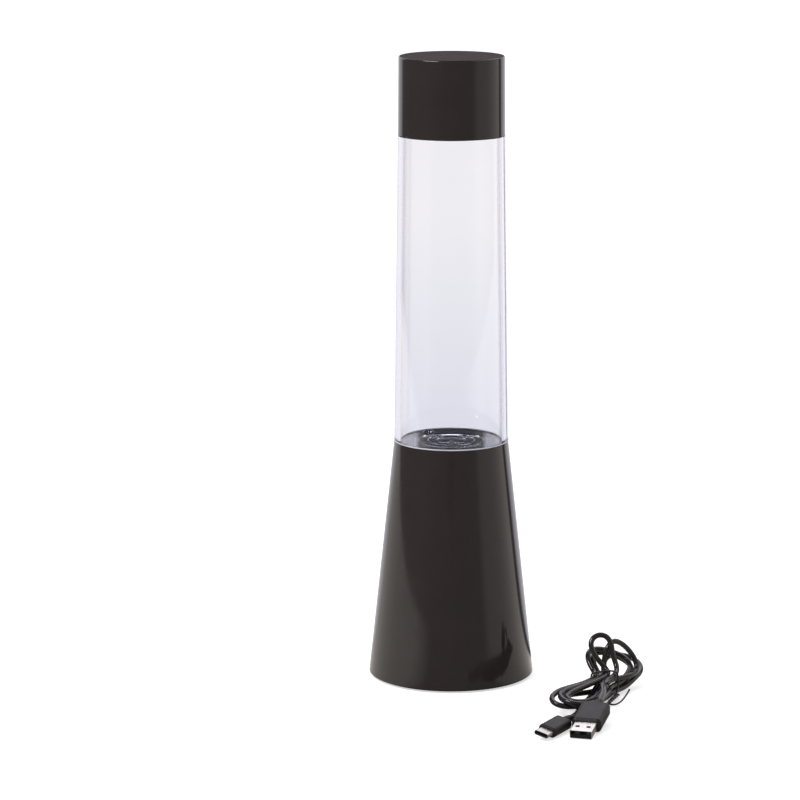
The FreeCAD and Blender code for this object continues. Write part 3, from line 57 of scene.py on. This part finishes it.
def place_camera():
    """The camera, turned by its pitch and roll in degrees."""
    data = bpy.data.cameras.new("camera")
    data.lens = LENS_LENGTH
    data.sensor_width = SENSOR_WIDTH
    camera = bpy.data.objects.new("camera", data)
    camera.rotation_mode = "QUATERNION"
    camera.location = CAMERA_PLACE
    pitch = Quaternion((1, 0, 0), math.radians(CAMERA_PITCH))
    roll = Quaternion((0, 0, 1), math.radians(CAMERA_ROLL))
    camera.rotation_quaternion = pitch @ roll
    scene.collection.objects.link(camera)
    scene.camera = camera


place_camera()


# Shader tools


def feed(tree, item, inputs):
    """Fills a node's inputs; each is given a number, a colour or another node's socket."""
    for name, given in inputs.items():
        if isinstance(given, bpy.types.NodeSocket):
            tree.links.new(given, item.inputs[name])
        else:
            item.inputs[name].default_value = given


def add(tree, kind, inputs=None, **settings):
    """A shader node with its settings and its inputs."""
    item = tree.nodes.new("ShaderNode" + kind)
    for name, setting in settings.items():
        setattr(item, name, setting)
    feed(tree, item, inputs or {})
    return item


def empty_tree(owner):
    """The cleared node tree of a material or of the world."""
    owner.use_nodes = True
    owner.node_tree.nodes.clear()
    return owner.node_tree


def start_material(name):
    """An empty material and its principled shader, wired to the output."""
    made = bpy.data.materials.new(name)
    tree = empty_tree(made)
    shader = add(tree, "BsdfPrincipled")
    add(tree, "OutputMaterial", {"Surface": shader.outputs[0]})
    return made, tree, shader


def place_of(tree, stretch=(1, 1, 1)):
    """Object coordinates, which are metres in the lamp's own frame."""
    spot = add(tree, "TexCoord").outputs["Object"]
    return add(tree, "Mapping", {"Vector": spot, "Scale": stretch}).outputs[0]


def maths(tree, operation, first, second=0.0):
    """One arithmetic step on two numbers or sockets."""
    return add(tree, "Math", {0: first, 1: second}, operation=operation).outputs[0]


def noise(tree, where, scale, detail=3.0, rough=0.55):
    """Cloudy noise with the given number of cells per metre."""
    inputs = {"Vector": where, "Scale": scale, "Detail": detail, "Roughness": rough}
    return add(tree, "TexNoise", inputs).outputs["Fac"]


def spread(tree, factor, low, high, start=0.3, end=0.7):
    """Takes the range from start to end, by default a texture's usual one, to that from low to high."""
    inputs = {"Value": factor, "From Min": start, "From Max": end, "To Min": low, "To Max": high}
    return add(tree, "MapRange", inputs).outputs[0]


def blend_colours(tree, factor, first, second):
    """The first colour where the factor is 0 and the second where it is 1."""
    pair = [c if isinstance(c, bpy.types.NodeSocket) else (*c, 1) for c in (first, second)]
    return add(tree, "Mix", {0: factor, 6: pair[0], 7: pair[1]}, data_type="RGBA").outputs[2]


def relief(tree, height, depth, strength=1.0, under=None):
    """Bumps of the given depth in metres, laid over other bumps if there are any."""
    inputs = {"Height": height, "Distance": depth, "Strength": strength}
    if under is not None:
        inputs["Normal"] = under
    return add(tree, "Bump", inputs).outputs[0]


# Scales in cells per metre and depths in mm of the textures that finishes share

CLOUD_SCALE = 45.0
GLOSS_SCALE = 120.0
WAVE_SCALE = 60.0
WAVE_DEPTH = 0.02
LINE_SCALE = 900.0
PATCH_SCALE = 160.0
SCUFF_SCALE = 380.0
SCUFF_DEPTH = 0.002
SCUFF_RANGE = (0.55, 0.75)
DRAWN_SCALE = 220.0
DRAWN_DEPTH = 0.004
DRAWN_STRETCH = (1, 1, 0.04)


def moulded(name, colours, roughness, grain, depth, ior=1.49, sheen=0.0, gloss_level=0.5):
    """Moulded plastic or rubber: cloudy colour, uneven gloss, fine grain and broad shrink waves."""
    made, tree, shader = start_material(name)
    where = place_of(tree)
    clouds = spread(tree, noise(tree, where, CLOUD_SCALE), 0, 1)
    gloss = noise(tree, where, GLOSS_SCALE, detail=4.0)
    broad = noise(tree, where, WAVE_SCALE, detail=1.0)
    waves = relief(tree, broad, WAVE_DEPTH * MM, strength=0.4)
    fine = noise(tree, where, grain, detail=2.0)
    look = {
        "Base Color": blend_colours(tree, clouds, *colours),
        "Roughness": spread(tree, gloss, *roughness),
        "Normal": relief(tree, fine, depth * MM, strength=0.6, under=waves),
        "IOR": ior,
        "Sheen Weight": sheen,
        "Specular IOR Level": gloss_level,
    }
    feed(tree, shader, look)
    return made


def metal(name, colours, roughness, stretch, depth):
    """Plated or drawn metal: fine lines one way, with duller patches."""
    made, tree, shader = start_material(name)
    lines = noise(tree, place_of(tree, stretch), LINE_SCALE, detail=4.0, rough=0.7)
    patches = noise(tree, place_of(tree), PATCH_SCALE, detail=4.0)
    look = {
        "Base Color": blend_colours(tree, spread(tree, patches, 0, 1), *colours),
        "Roughness": spread(tree, patches, *roughness),
        "Normal": relief(tree, lines, depth * MM, strength=0.5),
        "Metallic": 1.0,
    }
    feed(tree, shader, look)
    return made


def clear(name, tints, heights, roughness, ior=1.49, marks=0.0, through=1.0):
    """Clear plastic, its tint changing between two heights, with faint drawing lines and scuffs."""
    made, tree, shader = start_material(name)
    where = place_of(tree)
    height = add(tree, "SeparateXYZ", {"Vector": where}).outputs["Z"]
    scuffs = noise(tree, where, SCUFF_SCALE, detail=5.0, rough=0.7)
    drawn = noise(tree, place_of(tree, DRAWN_STRETCH), DRAWN_SCALE, detail=2.0)
    waves = relief(tree, drawn, DRAWN_DEPTH * MM, strength=0.35)
    look = {
        "Base Color": blend_colours(tree, spread(tree, height, 0, 1, *heights), *tints),
        "Roughness": spread(tree, scuffs, *roughness, *SCUFF_RANGE),
        "Normal": relief(tree, scuffs, (SCUFF_DEPTH + marks) * MM, strength=0.4, under=waves),
        "Transmission Weight": through,
        "IOR": ior,
    }
    feed(tree, shader, look)
    return made


# Finishes: grain in cells per metre, depths in mm, heights in metres

MOULDED_LOOKS = {
    "black_gloss": {
        "colours": ((0.0220, 0.0174, 0.0162), (0.0250, 0.0198, 0.0186)),
        "roughness": (0.05, 0.11),
        "grain": 2600.0,
        "depth": 0.0006,
    },
    # painted light: the cap's satin top is coloured lighter and pinker than the body, for the light that
    # falls on it from above
    "cap_top_satin_painted_lighter": {
        "colours": ((0.0330, 0.0230, 0.0250), (0.0370, 0.0265, 0.0290)),
        "roughness": (0.42, 0.52),
        "grain": 2400.0,
        "depth": 0.004,
        "ior": 1.2,
        "gloss_level": 0.15,
    },
    "plug_black": {
        "colours": ((0.0180, 0.0145, 0.0150), (0.0230, 0.0185, 0.0190)),
        "roughness": (0.38, 0.50),
        "grain": 2600.0,
        "depth": 0.010,
        "gloss_level": 0.22,
    },
    # painted shade: the plug's tongue, white plastic in its slot, is coloured near-black for the shade
    # deep in the plug's mouth
    "tongue_painted_shade_dark": {
        "colours": ((0.010, 0.010, 0.010), (0.014, 0.014, 0.014)),
        "roughness": (0.40, 0.55),
        "grain": 2600.0,
        "depth": 0.008,
        "gloss_level": 0.3,
    },
    "black_matte": {
        "colours": ((0.012, 0.012, 0.013), (0.018, 0.018, 0.020)),
        "roughness": (0.30, 0.45),
        "grain": 3000.0,
        "depth": 0.012,
    },
    "black_rubber": {
        "colours": ((0.014, 0.014, 0.014), (0.024, 0.023, 0.023)),
        "roughness": (0.62, 0.80),
        "grain": 3600.0,
        "depth": 0.02,
        "ior": 1.45,
        "sheen": 0.1,
    },
    "clear_silicone": {
        "colours": ((0.72, 0.73, 0.71), (0.80, 0.81, 0.79)),
        "roughness": (0.32, 0.45),
        "grain": 2200.0,
        "depth": 0.006,
        "ior": 1.41,
    },
    "white_plastic": {
        "colours": ((0.74, 0.74, 0.72), (0.80, 0.80, 0.78)),
        "roughness": (0.30, 0.42),
        "grain": 2600.0,
        "depth": 0.008,
    },
    "circuit_board": {
        "colours": ((0.015, 0.120, 0.055), (0.025, 0.160, 0.075)),
        "roughness": (0.22, 0.34),
        "grain": 1800.0,
        "depth": 0.010,
    },
    "chip": {
        "colours": ((0.014, 0.014, 0.016), (0.022, 0.022, 0.024)),
        "roughness": (0.42, 0.55),
        "grain": 4200.0,
        "depth": 0.012,
    },
    "wire_red": {
        "colours": ((0.42, 0.020, 0.015), (0.50, 0.030, 0.022)),
        "roughness": (0.30, 0.42),
        "grain": 2400.0,
        "depth": 0.006,
    },
    "wire_black": {
        "colours": ((0.014, 0.014, 0.015), (0.022, 0.022, 0.023)),
        "roughness": (0.30, 0.42),
        "grain": 2400.0,
        "depth": 0.006,
    },
    "cord_black": {
        "colours": ((0.0165, 0.0122, 0.0128), (0.0235, 0.0175, 0.0185)),
        "roughness": (0.10, 0.20),
        "grain": 2400.0,
        "depth": 0.006,
    },
}
METAL_LOOKS = {
    "steel": {
        "colours": ((0.52, 0.52, 0.52), (0.62, 0.62, 0.61)),
        "roughness": (0.22, 0.38),
        "stretch": (0.2, 1, 1),
        "depth": 0.006,
    },
    "nickel": {
        "colours": ((0.70, 0.655, 0.65), (0.80, 0.75, 0.745)),
        "roughness": (0.20, 0.34),
        "stretch": (1, 0.08, 1),
        "depth": 0.003,
    },
    "brass": {
        "colours": ((0.66, 0.47, 0.20), (0.76, 0.58, 0.28)),
        "roughness": (0.20, 0.34),
        "stretch": (1, 1, 0.2),
        "depth": 0.006,
    },
    "tinned": {
        "colours": ((0.62, 0.62, 0.61), (0.70, 0.70, 0.69)),
        "roughness": (0.26, 0.40),
        "stretch": (1, 1, 0.2),
        "depth": 0.008,
    },
}
CLEAR_LOOKS = {
    "clear_tube": {
        "tints": ((0.890, 0.896, 0.958), (0.983, 0.978, 1.0)),
        "heights": (0.130, 0.260),
        "roughness": (0.0, 0.04),
    },
    "clear_floor": {
        "tints": ((0.86, 0.87, 0.94), (0.90, 0.91, 0.97)),
        "heights": (0.125, 0.136),
        "roughness": (0.0, 0.10),
        "marks": 0.004,
    },
    "led_lens": {
        "tints": ((0.93, 0.95, 1.0), (0.97, 0.98, 1.0)),
        "heights": (0.122, 0.132),
        "roughness": (0.05, 0.12),
        "ior": 1.51,
        "through": 0.25,
    },
    "bead_clear": {
        "tints": ((0.80, 0.80, 0.90), (0.86, 0.86, 0.94)),
        "heights": (0.1345, 0.1360),
        "roughness": (0.20, 0.35),
        "through": 0.35,
    },
}
finish = {}
for maker, looks in ((moulded, MOULDED_LOOKS), (metal, METAL_LOOKS), (clear, CLEAR_LOOKS)):
    for look_name, values in looks.items():
        finish[look_name] = maker(look_name, **values)

# Each node takes the finish of its slot, but for the plugs and the satin top of the cap, whose colour is
# painted lighter as if lit from above

# The cap's top is every face that looks up at least this much, above this height in mm
CAP_TOP_FACING = 0.85
CAP_TOP_FROM = 349.5

slot_of = {part["node"]: part["material_slot"] for part in frame["record"]["subparts"]}
for node_name, node in nodes.items():
    node.data.materials.clear()
    node.data.materials.append(finish[slot_of[node_name]])

nodes["usb_a_overmould"].data.materials[0] = finish["plug_black"]
nodes["usb_c_overmould"].data.materials[0] = finish["plug_black"]
# painted shade: the tongue is darkened to stand for the shade inside the plug's mouth
nodes["usb_a_tongue"].data.materials[0] = finish["tongue_painted_shade_dark"]

cap_mesh = nodes["cap_shell"].data
# painted light: the upward faces of the cap's top take the copy of its black that is painted lighter
cap_mesh.materials.append(finish["cap_top_satin_painted_lighter"])
for face in cap_mesh.polygons:
    on_top = face.normal.z > CAP_TOP_FACING and face.center.z > CAP_TOP_FROM * MM
    face.material_index = 1 if on_top else 0


# Lead, in mm and degrees: from the small plug under the hank, through its turns, to the flat plug

LEAD_RADIUS = 1.5
LEAD_WAIST = Vector((84.5, -49.6, 0))
LEAD_HEADING = 64.5
HANK_TURNS = 4.5
POINTS_PER_TURN = 24
# Where the lead passes the waist, twice in each turn: across, and height before the drop
WAIST_PLACES = (
    (1.7, 7.5),
    (-1.9, 3.0),
    (0.2, 4.6),
    (-5.8, 2.9),
    (5.1, 9.6),
    (-4.3, 5.8),
    (0.6, 10.5),
    (-3.1, 9.1),
    (-2.5, 11.9),
    (-5.6, 11.7),
)
WAIST_DROP = 1.8
# Length, width, rise, swing and roll of each loop at the back
BACK_LOOPS = (
    (30.6, 10.8, 23.0, 10.6, 15.6),
    (37.1, 9.1, 18.2, 5.7, 14.4),
    (27.9, 9.6, 27.0, 13.2, 16.5),
    (27.2, 10.6, 28.5, -8.0, 61.7),
    (24.4, 5.1, 59.7, 58.3, -32.5),
)
# Length, width, lift and swing of each loop at the front
FRONT_LOOPS = (
    (38.4, 5.9, 3.1, -10.6),
    (52.7, 4.8, 2.9, -7.9),
    (51.0, 8.6, 2.5, -2.0),
    (46.6, 6.7, -0.2, -3.6),
)
BULGE = 2.15
BULGE_POWER = 1.4
# Shares of a loop's length at which each of its movements is complete
DROP_REACH = 0.5
SWING_REACH = 0.6
ROLL_REACH = 0.85
LIFT_REACH = 0.9
# The end that lies on the floor under the hank: along and across its own line
TAIL_WAIST = Vector((83.9, -44.1, 0))
TAIL_HEADING = 69.7
TAIL_HEIGHT = LEAD_RADIUS + 0.15
TAIL_PLACES = ((-44.5, 0.4), (-33.0, 1.4), (-20.0, 1.6))
TAIL_SIDESTEP = Vector((0.9, -0.4, 0.2))
# How far from the first and from the last turn the line keeps the hank's heading
START_RUN = (11.0, 3.0)
END_RUN = (3.0, 16.0)
COURSE_STEP = 1e-4
# From a plug's frame to the end of its strain relief, and the cord's straight length from there
PLUG_RELIEF = 8.0
SMALL_PLUG_RUN = 8.5
FLAT_PLUG_RUN = 12.5


def ramp(amount):
    """Smooth step from 0 to 1."""
    t = min(max(amount, 0.0), 1.0)
    return t**3 * (10 + t * (6 * t - 15))


def hank_local(along, aside, height, waist=LEAD_WAIST, turn=LEAD_HEADING):
    """A point given along and across the hank from its waist."""
    heading = math.radians(turn)
    x = along * math.cos(heading) - aside * math.sin(heading)
    y = along * math.sin(heading) + aside * math.cos(heading)
    return waist + Vector((x, y, height))


def waist_place(turn):
    """How far across and how high the lead passes the waist next to this turn."""
    half = min(int(2 * turn), len(WAIST_PLACES) - 2)
    part = 2 * turn - half
    here, there = WAIST_PLACES[half], WAIST_PLACES[half + 1]
    across = here[0] + (there[0] - here[0]) * (1 - math.cos(math.pi * part)) / 2
    height = here[1] + (there[1] - here[1]) * ramp(part)
    return across, height


def hank_point(turn):
    """A point of the wound lead, its turns counted from the end that leads to the small plug."""
    angle = math.pi / 2 - 2 * math.pi * turn
    reach = abs(math.cos(angle))
    if math.cos(angle) >= 0:
        length, width, rise, swing, roll = BACK_LOOPS[min(int(turn), len(BACK_LOOPS) - 1)]
        side, lift = 1, 0.0
    else:
        length, width, lift, swing = FRONT_LOOPS[min(int(turn - 0.5), len(FRONT_LOOPS) - 1)]
        side, rise, roll = -1, 0.0, 0.0
    rise = math.radians(rise) * ramp(reach / SWING_REACH)
    roll = math.radians(roll) * ramp(reach / ROLL_REACH)
    aside, height = waist_place(turn)
    bulge = width * BULGE * math.sin(angle) * reach**BULGE_POWER
    along = side * (length * reach * math.cos(rise) - bulge * math.sin(roll) * math.sin(rise))
    aside += bulge * math.cos(roll)
    height += lift * ramp(reach / LIFT_REACH) - WAIST_DROP * ramp(reach / DROP_REACH)
    height += length * reach * math.sin(rise) + bulge * math.sin(roll) * math.cos(rise)
    return hank_local(along, aside, height, turn=LEAD_HEADING + swing * ramp(reach / SWING_REACH))


def hank_course(turn):
    """Level unit heading of the lead where it leaves the hank."""
    after = hank_point(min(turn + COURSE_STEP, HANK_TURNS))
    course = after - hank_point(max(turn - COURSE_STEP, 0.0))
    course.z = 0
    return course.normalized()


def plug_frame(at, yaw, tilt, roll):
    """Place of a plug in mm: its cord leaves along +Y of this frame, its nose points along -Y."""
    turn = Matrix.Rotation(math.radians(yaw), 4, "Z") @ Matrix.Rotation(math.radians(tilt), 4, "X")
    return Matrix.Translation(at) @ turn @ Matrix.Rotation(math.radians(roll), 4, "Y")


def cord_exit(plug):
    """Where the cord leaves a plug, and the unit heading in which it does."""
    return plug @ Vector((0, PLUG_RELIEF, 0)), plug.to_3x3() @ Vector((0, 1, 0))


USB_A_PLUG = plug_frame((77.0, -101.5, 7.8), yaw=-16.5, tilt=8.4, roll=0)
USB_C_PLUG = plug_frame((58.7, -115.4, 3.8), yaw=-29.0, tilt=0, roll=12.8)


def lead_route():
    """Control points from the small plug, through the hank, to the flat plug."""
    small_end, small_out = cord_exit(USB_C_PLUG)
    flat_end, flat_out = cord_exit(USB_A_PLUG)
    first, last = hank_point(0.0), hank_point(HANK_TURNS)
    start, end = hank_course(0.0), hank_course(HANK_TURNS)
    points = [small_end, small_end + small_out * SMALL_PLUG_RUN]
    points += [hank_local(*spot, TAIL_HEIGHT, TAIL_WAIST, TAIL_HEADING) for spot in TAIL_PLACES]
    points += [first - start * START_RUN[0] + TAIL_SIDESTEP, first - start * START_RUN[1]]
    count = int(HANK_TURNS * POINTS_PER_TURN)
    points += [hank_point(i / POINTS_PER_TURN) for i in range(count + 1)]
    points += [last + end * run for run in END_RUN]
    points += [flat_end + flat_out * FLAT_PLUG_RUN, flat_end]
    return points


def smooth_line(name, points, radius):
    """A round tube on one open smooth line, its control points in mm."""
    data = bpy.data.curves.new(name, "CURVE")
    data.dimensions = "3D"
    line = data.splines.new("NURBS")
    line.points.add(len(points) - 1)
    for knot, point in zip(line.points, points):
        knot.co = (*(point * MM), 1)
    line.order_u = 3
    line.use_endpoint_u = True
    line.resolution_u = 6
    data.bevel_depth = radius * MM
    data.bevel_resolution = 5
    data.use_fill_caps = True
    item = bpy.data.objects.new(name, data)
    scene.collection.objects.link(item)
    return item


lead = smooth_line("lead", lead_route(), LEAD_RADIUS)
lead.data.materials.append(finish["cord_black"])
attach(lead, "lamp")
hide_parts("lead_hank", "lead_tail_usb_a", "lead_tail_usb_c")

# Twist tie, in mm: a ring round the waist, and its two ends wound together

TIE_RADIUS = 0.5
# Across the waist and up
TIE_RING = (
    (-8.3, 7.0),
    (-7.9, 12.9),
    (-6.5, 14.2),
    (-2.0, 14.35),
    (0.0, 13.8),
    (5.6, 12.3),
    (7.9, 11.5),
    (8.2, 8.5),
    (6.7, 6.8),
    (3.4, 3.8),
    (1.9, 2.3),
    (-0.7, 0.6),
    (-6.8, 0.6),
    (-8.8, 1.1),
)
# The twisted part: each strand's distance from its axis, its angles, and the axis itself
TIE_TWIST = 0.78
TIE_PHASE = math.pi / 9
TIE_TURN = math.pi / 3
TIE_STEP = 0.85
TIE_STEPS = 17
TIE_START = Vector((-5.0, -9.9, 2.8))
TIE_DRIFT = Vector((-1.0, -0.03, -0.06))
# The free ends: along the hank, across it and up
TIE_LONG_END = (
    (-20.6, -12.4, 1.2),
    (-18.4, -14.8, 1.2),
    (-13.0, -15.9, 2.2),
    (-7.0, -16.1, 4.2),
    (-3.4, -16.2, 6.0),
)
TIE_SHORT_END = ((-23.6, -9.9, 1.6), (-20.9, -10.2, 2.2))


def tie_strand(side):
    """One strand of the twisted part, beside the front of the waist."""
    points = []
    for i in range(TIE_STEPS):
        angle = TIE_PHASE + math.pi * side - TIE_TURN * i
        at = TIE_START + TIE_DRIFT * (TIE_STEP * i)
        across = at.y + TIE_TWIST * math.cos(angle)
        points.append(hank_local(at.x, across, at.z + TIE_TWIST * math.sin(angle)))
    return points


def tie_route():
    """Control points from the short end, round the waist, to the long end."""
    points = [hank_local(*spot) for spot in TIE_SHORT_END]
    points += tie_strand(0)[::-1]
    points += [hank_local(0, aside, height) for aside, height in TIE_RING]
    points += tie_strand(1)
    points += [hank_local(*spot) for spot in TIE_LONG_END]
    return points


tie = smooth_line("twist_tie_wire", tie_route(), TIE_RADIUS)
tie.data.materials.append(finish["wire_black"])
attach(tie, "lamp")
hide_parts("twist_tie")

# Clear bead where the tube stands on the base's rim, in mm

BEAD_OUT = 31.95
BEAD_UP = 135.05
BEAD_RADIUS = 0.30
BEAD_STRETCH = 1.25
BEAD_SIDES = 10
BEAD_STEPS = 128


def ring_mesh(name, section, steps):
    """A closed ring about the Z axis, from the points of its section out from the axis and up."""
    sides = len(section)
    points = []
    faces = []
    for i in range(steps):
        turn = 2 * math.pi * i / steps
        for out, up in section:
            points.append((out * math.cos(turn) * MM, out * math.sin(turn) * MM, up * MM))
        this, after = i * sides, (i + 1) % steps * sides
        for j in range(sides):
            follow = (j + 1) % sides
            faces.append((this + j, after + j, after + follow, this + follow))
    mesh = bpy.data.meshes.new(name)
    mesh.from_pydata(points, [], faces)
    mesh.shade_smooth()
    return mesh


def make_bead():
    """The bead, a ring with an upright oval section."""
    section = []
    for i in range(BEAD_SIDES):
        angle = 2 * math.pi * i / BEAD_SIDES
        out = BEAD_OUT + BEAD_RADIUS * math.cos(angle)
        up = BEAD_UP + BEAD_STRETCH * BEAD_RADIUS * math.sin(angle)
        section.append((out, up))
    mesh = ring_mesh("tube_bead", section, BEAD_STEPS)
    mesh.materials.append(finish["bead_clear"])
    bead = bpy.data.objects.new("tube_bead", mesh)
    scene.collection.objects.link(bead)
    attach(bead, "lamp")


make_bead()

# Floor, light and surroundings, in metres

# Brightness of the studio in reflections, by angle in degrees: 0 is the camera's side, 90 the right
STUDIO_LEVELS = (
    (-180, 0.98),
    (-138, 0.98),
    (-129, 0.15),
    (-100, 0.18),
    (-55, 0.24),
    (-20, 0.18),
    (20, 0.18),
    (46, 0.24),
    (57, 0.58),
    (80, 0.64),
    (93, 0.76),
    (110, 0.95),
    (120, 0.92),
    (123, 0.12),
    (129, 0.12),
    (135, 0.98),
    (180, 0.98),
)
BACKDROP_FROM = 128
BACKDROP_TINT = (0.95, 0.93, 1.0)
ROOM_TINT = (1.0, 0.94, 0.90)
# Dark gap straight ahead and straight behind, as a slope to the side, and where it ends above
GAP_MIDDLE = 0.015
GAP_HALF = 0.088
GAP_EDGE = 0.012
GAP_TOP = (0.30, 0.34)
CEILING_HEIGHT = (0.75, 0.95)
CEILING_TINT = (0.08, 0.08, 0.085)
DAYLIGHT_TINT = (0.97, 0.97, 1.0, 1)
DAYLIGHT_STRENGTH = 0.62
FLOOR_REACH = 8.0
FLOOR_SCALE = 6.0
FLOOR_TONES = ((0.74, 0.74, 0.74), (0.77, 0.77, 0.77))
FLOOR_GLOW = (0.58, 0.65)
FLOOR_GLOW_RUN = (0.3, 2.5)
# The part of the floor that shows bright in the lamp's left side
SHEET_CENTRE = (0.1, 0.5, 0)
SHEET_RIM = (1.2, 1.23)
SHEET_LEVEL = 0.85
SHEET_LEFT = (-0.80, -0.50)
LIGHT_TARGET = Vector((0, 0, 0.17))


def seen_rays(tree):
    """Sockets that are 1 for rays through clear plastic, for mirrored rays and for all rays to the eye."""
    rays = add(tree, "LightPath").outputs
    through = rays["Is Transmission Ray"]
    seen = maths(tree, "MAXIMUM", rays["Is Camera Ray"], rays["Is Glossy Ray"])
    seen = maths(tree, "MAXIMUM", seen, through)
    bounced = maths(tree, "MINIMUM", rays["Glossy Depth"], 1.0)
    mirrored = maths(tree, "MULTIPLY", seen, bounced)
    return through, mirrored, seen


def studio_level(tree, across, back):
    """Colour of the studio in the direction given by its parts to the right and to the back."""
    angle = maths(tree, "ARCTAN2", across, maths(tree, "MULTIPLY", back, -1.0))
    around = add(tree, "ValToRGB", {"Fac": spread(tree, angle, 0, 1, -math.pi, math.pi)})
    stops = around.color_ramp.elements
    while len(stops) < len(STUDIO_LEVELS):
        stops.new(0.5)
    for stop, (degrees, level) in zip(stops, STUDIO_LEVELS):
        tint = BACKDROP_TINT if abs(degrees) > BACKDROP_FROM else ROOM_TINT
        stop.position = (degrees + 180) / 360
        stop.color = (*(level * part for part in tint), 1)
    return around.outputs[0]


def mirrored_floor(tree, where, across, back):
    """Colour of the floor in reflections: the studio's own, with the bright sheet on the left."""
    centre = add(tree, "VectorMath", {0: where, 1: SHEET_CENTRE}, operation="DISTANCE").outputs["Value"]
    inside = spread(tree, centre, SHEET_LEVEL, 0.0, *SHEET_RIM)
    heading = add(tree, "VectorMath", {0: where}, operation="NORMALIZE").outputs["Vector"]
    rightness = add(tree, "SeparateXYZ", {"Vector": heading}).outputs["X"]
    left = spread(tree, rightness, 1, 0, *SHEET_LEFT)
    sheet = maths(tree, "MULTIPLY", inside, left)
    return blend_colours(tree, sheet, studio_level(tree, across, back), ROOM_TINT)


def floor_finish():
    """A pale sheet that glows a little for the eye, so it stays white and keeps the lamp's shadow."""
    made = bpy.data.materials.new("floor_white")
    made.cycles.emission_sampling = "NONE"
    tree = empty_tree(made)
    where = place_of(tree)
    parts = add(tree, "SeparateXYZ", {"Vector": where}).outputs
    through, mirrored, seen = seen_rays(tree)
    tone = blend_colours(tree, noise(tree, where, FLOOR_SCALE), *FLOOR_TONES)
    matt = add(tree, "BsdfDiffuse", {"Color": tone}).outputs[0]
    brightness = spread(tree, parts["Y"], *FLOOR_GLOW, *FLOOR_GLOW_RUN)
    glow = add(tree, "Emission", {"Strength": brightness}).outputs[0]
    eye_glow = add(tree, "MixShader", {0: seen, 2: glow}).outputs[0]
    sheet = add(tree, "AddShader", {0: matt, 1: eye_glow}).outputs[0]
    white = add(tree, "Emission", {"Strength": 1.0}).outputs[0]
    clear_view = add(tree, "MixShader", {0: through, 1: sheet, 2: white}).outputs[0]
    level = mirrored_floor(tree, where, parts["X"], parts["Y"])
    reflection = add(tree, "Emission", {"Color": level, "Strength": 1.0}).outputs[0]
    surface = add(tree, "MixShader", {0: mirrored, 1: clear_view, 2: reflection}).outputs[0]
    add(tree, "OutputMaterial", {"Surface": surface})
    return made


def make_floor():
    """One large square under the lamp."""
    corners = [(x * FLOOR_REACH, y * FLOOR_REACH, 0) for x, y in ((-1, -1), (1, -1), (1, 1), (-1, 1))]
    mesh = bpy.data.meshes.new("floor")
    mesh.from_pydata(corners, [], [(0, 1, 2, 3)])
    mesh.materials.append(floor_finish())
    floor = bpy.data.objects.new("floor", mesh)
    scene.collection.objects.link(floor)


def make_world():
    """A studio that is lit evenly, white to the eye and dim in reflections but for its backdrop."""
    world = bpy.data.worlds.new("studio")
    tree = empty_tree(world)
    direction = add(tree, "TexCoord").outputs["Generated"]
    parts = add(tree, "SeparateXYZ", {"Vector": direction}).outputs
    slope = maths(tree, "DIVIDE", parts["X"], parts["Y"])
    off = maths(tree, "ABSOLUTE", maths(tree, "SUBTRACT", slope, GAP_MIDDLE))
    beside = spread(tree, off, 0, 1, GAP_HALF - GAP_EDGE, GAP_HALF + GAP_EDGE)
    above = spread(tree, parts["Z"], 0, 1, *GAP_TOP)
    low = spread(tree, parts["Z"], 1, 0, *CEILING_HEIGHT)
    lit = maths(tree, "MULTIPLY", maths(tree, "MAXIMUM", beside, above), low)
    shade = blend_colours(tree, lit, CEILING_TINT, studio_level(tree, parts["X"], parts["Y"]))
    _, mirrored, seen = seen_rays(tree)
    light = add(tree, "Background", {"Color": DAYLIGHT_TINT, "Strength": DAYLIGHT_STRENGTH}).outputs[0]
    white = add(tree, "Background", {"Color": (1, 1, 1, 1), "Strength": 1.0}).outputs[0]
    reflection = add(tree, "Background", {"Color": shade, "Strength": 1.0}).outputs[0]
    eye = add(tree, "MixShader", {0: seen, 1: light, 2: white}).outputs[0]
    surface = add(tree, "MixShader", {0: mirrored, 1: eye, 2: reflection}).outputs[0]
    add(tree, "OutputWorld", {"Surface": surface})
    scene.world = world


def soft_box(name, azimuth, elevation, distance, width, height, power):
    """An area lamp that faces the lamp's middle; azimuth 0 is the camera's side, 90 the right."""
    data = bpy.data.lights.new(name, "AREA")
    data.shape = "RECTANGLE"
    data.size, data.size_y = width, height
    data.energy = power
    turn, lift = math.radians(azimuth), math.radians(elevation)
    away = Vector((math.sin(turn) * math.cos(lift), -math.cos(turn) * math.cos(lift), math.sin(lift)))
    item = bpy.data.objects.new(name, data)
    item.location = LIGHT_TARGET + away * distance
    item.rotation_mode = "QUATERNION"
    item.rotation_quaternion = away.to_track_quat("Z", "Y")
    scene.collection.objects.link(item)


make_floor()
make_world()
soft_box("key_light", azimuth=-54, elevation=46, distance=1.6, width=0.80, height=0.36, power=14.0)
soft_box("back_light", azimuth=175, elevation=52, distance=2.2, width=2.2, height=1.3, power=14.0)
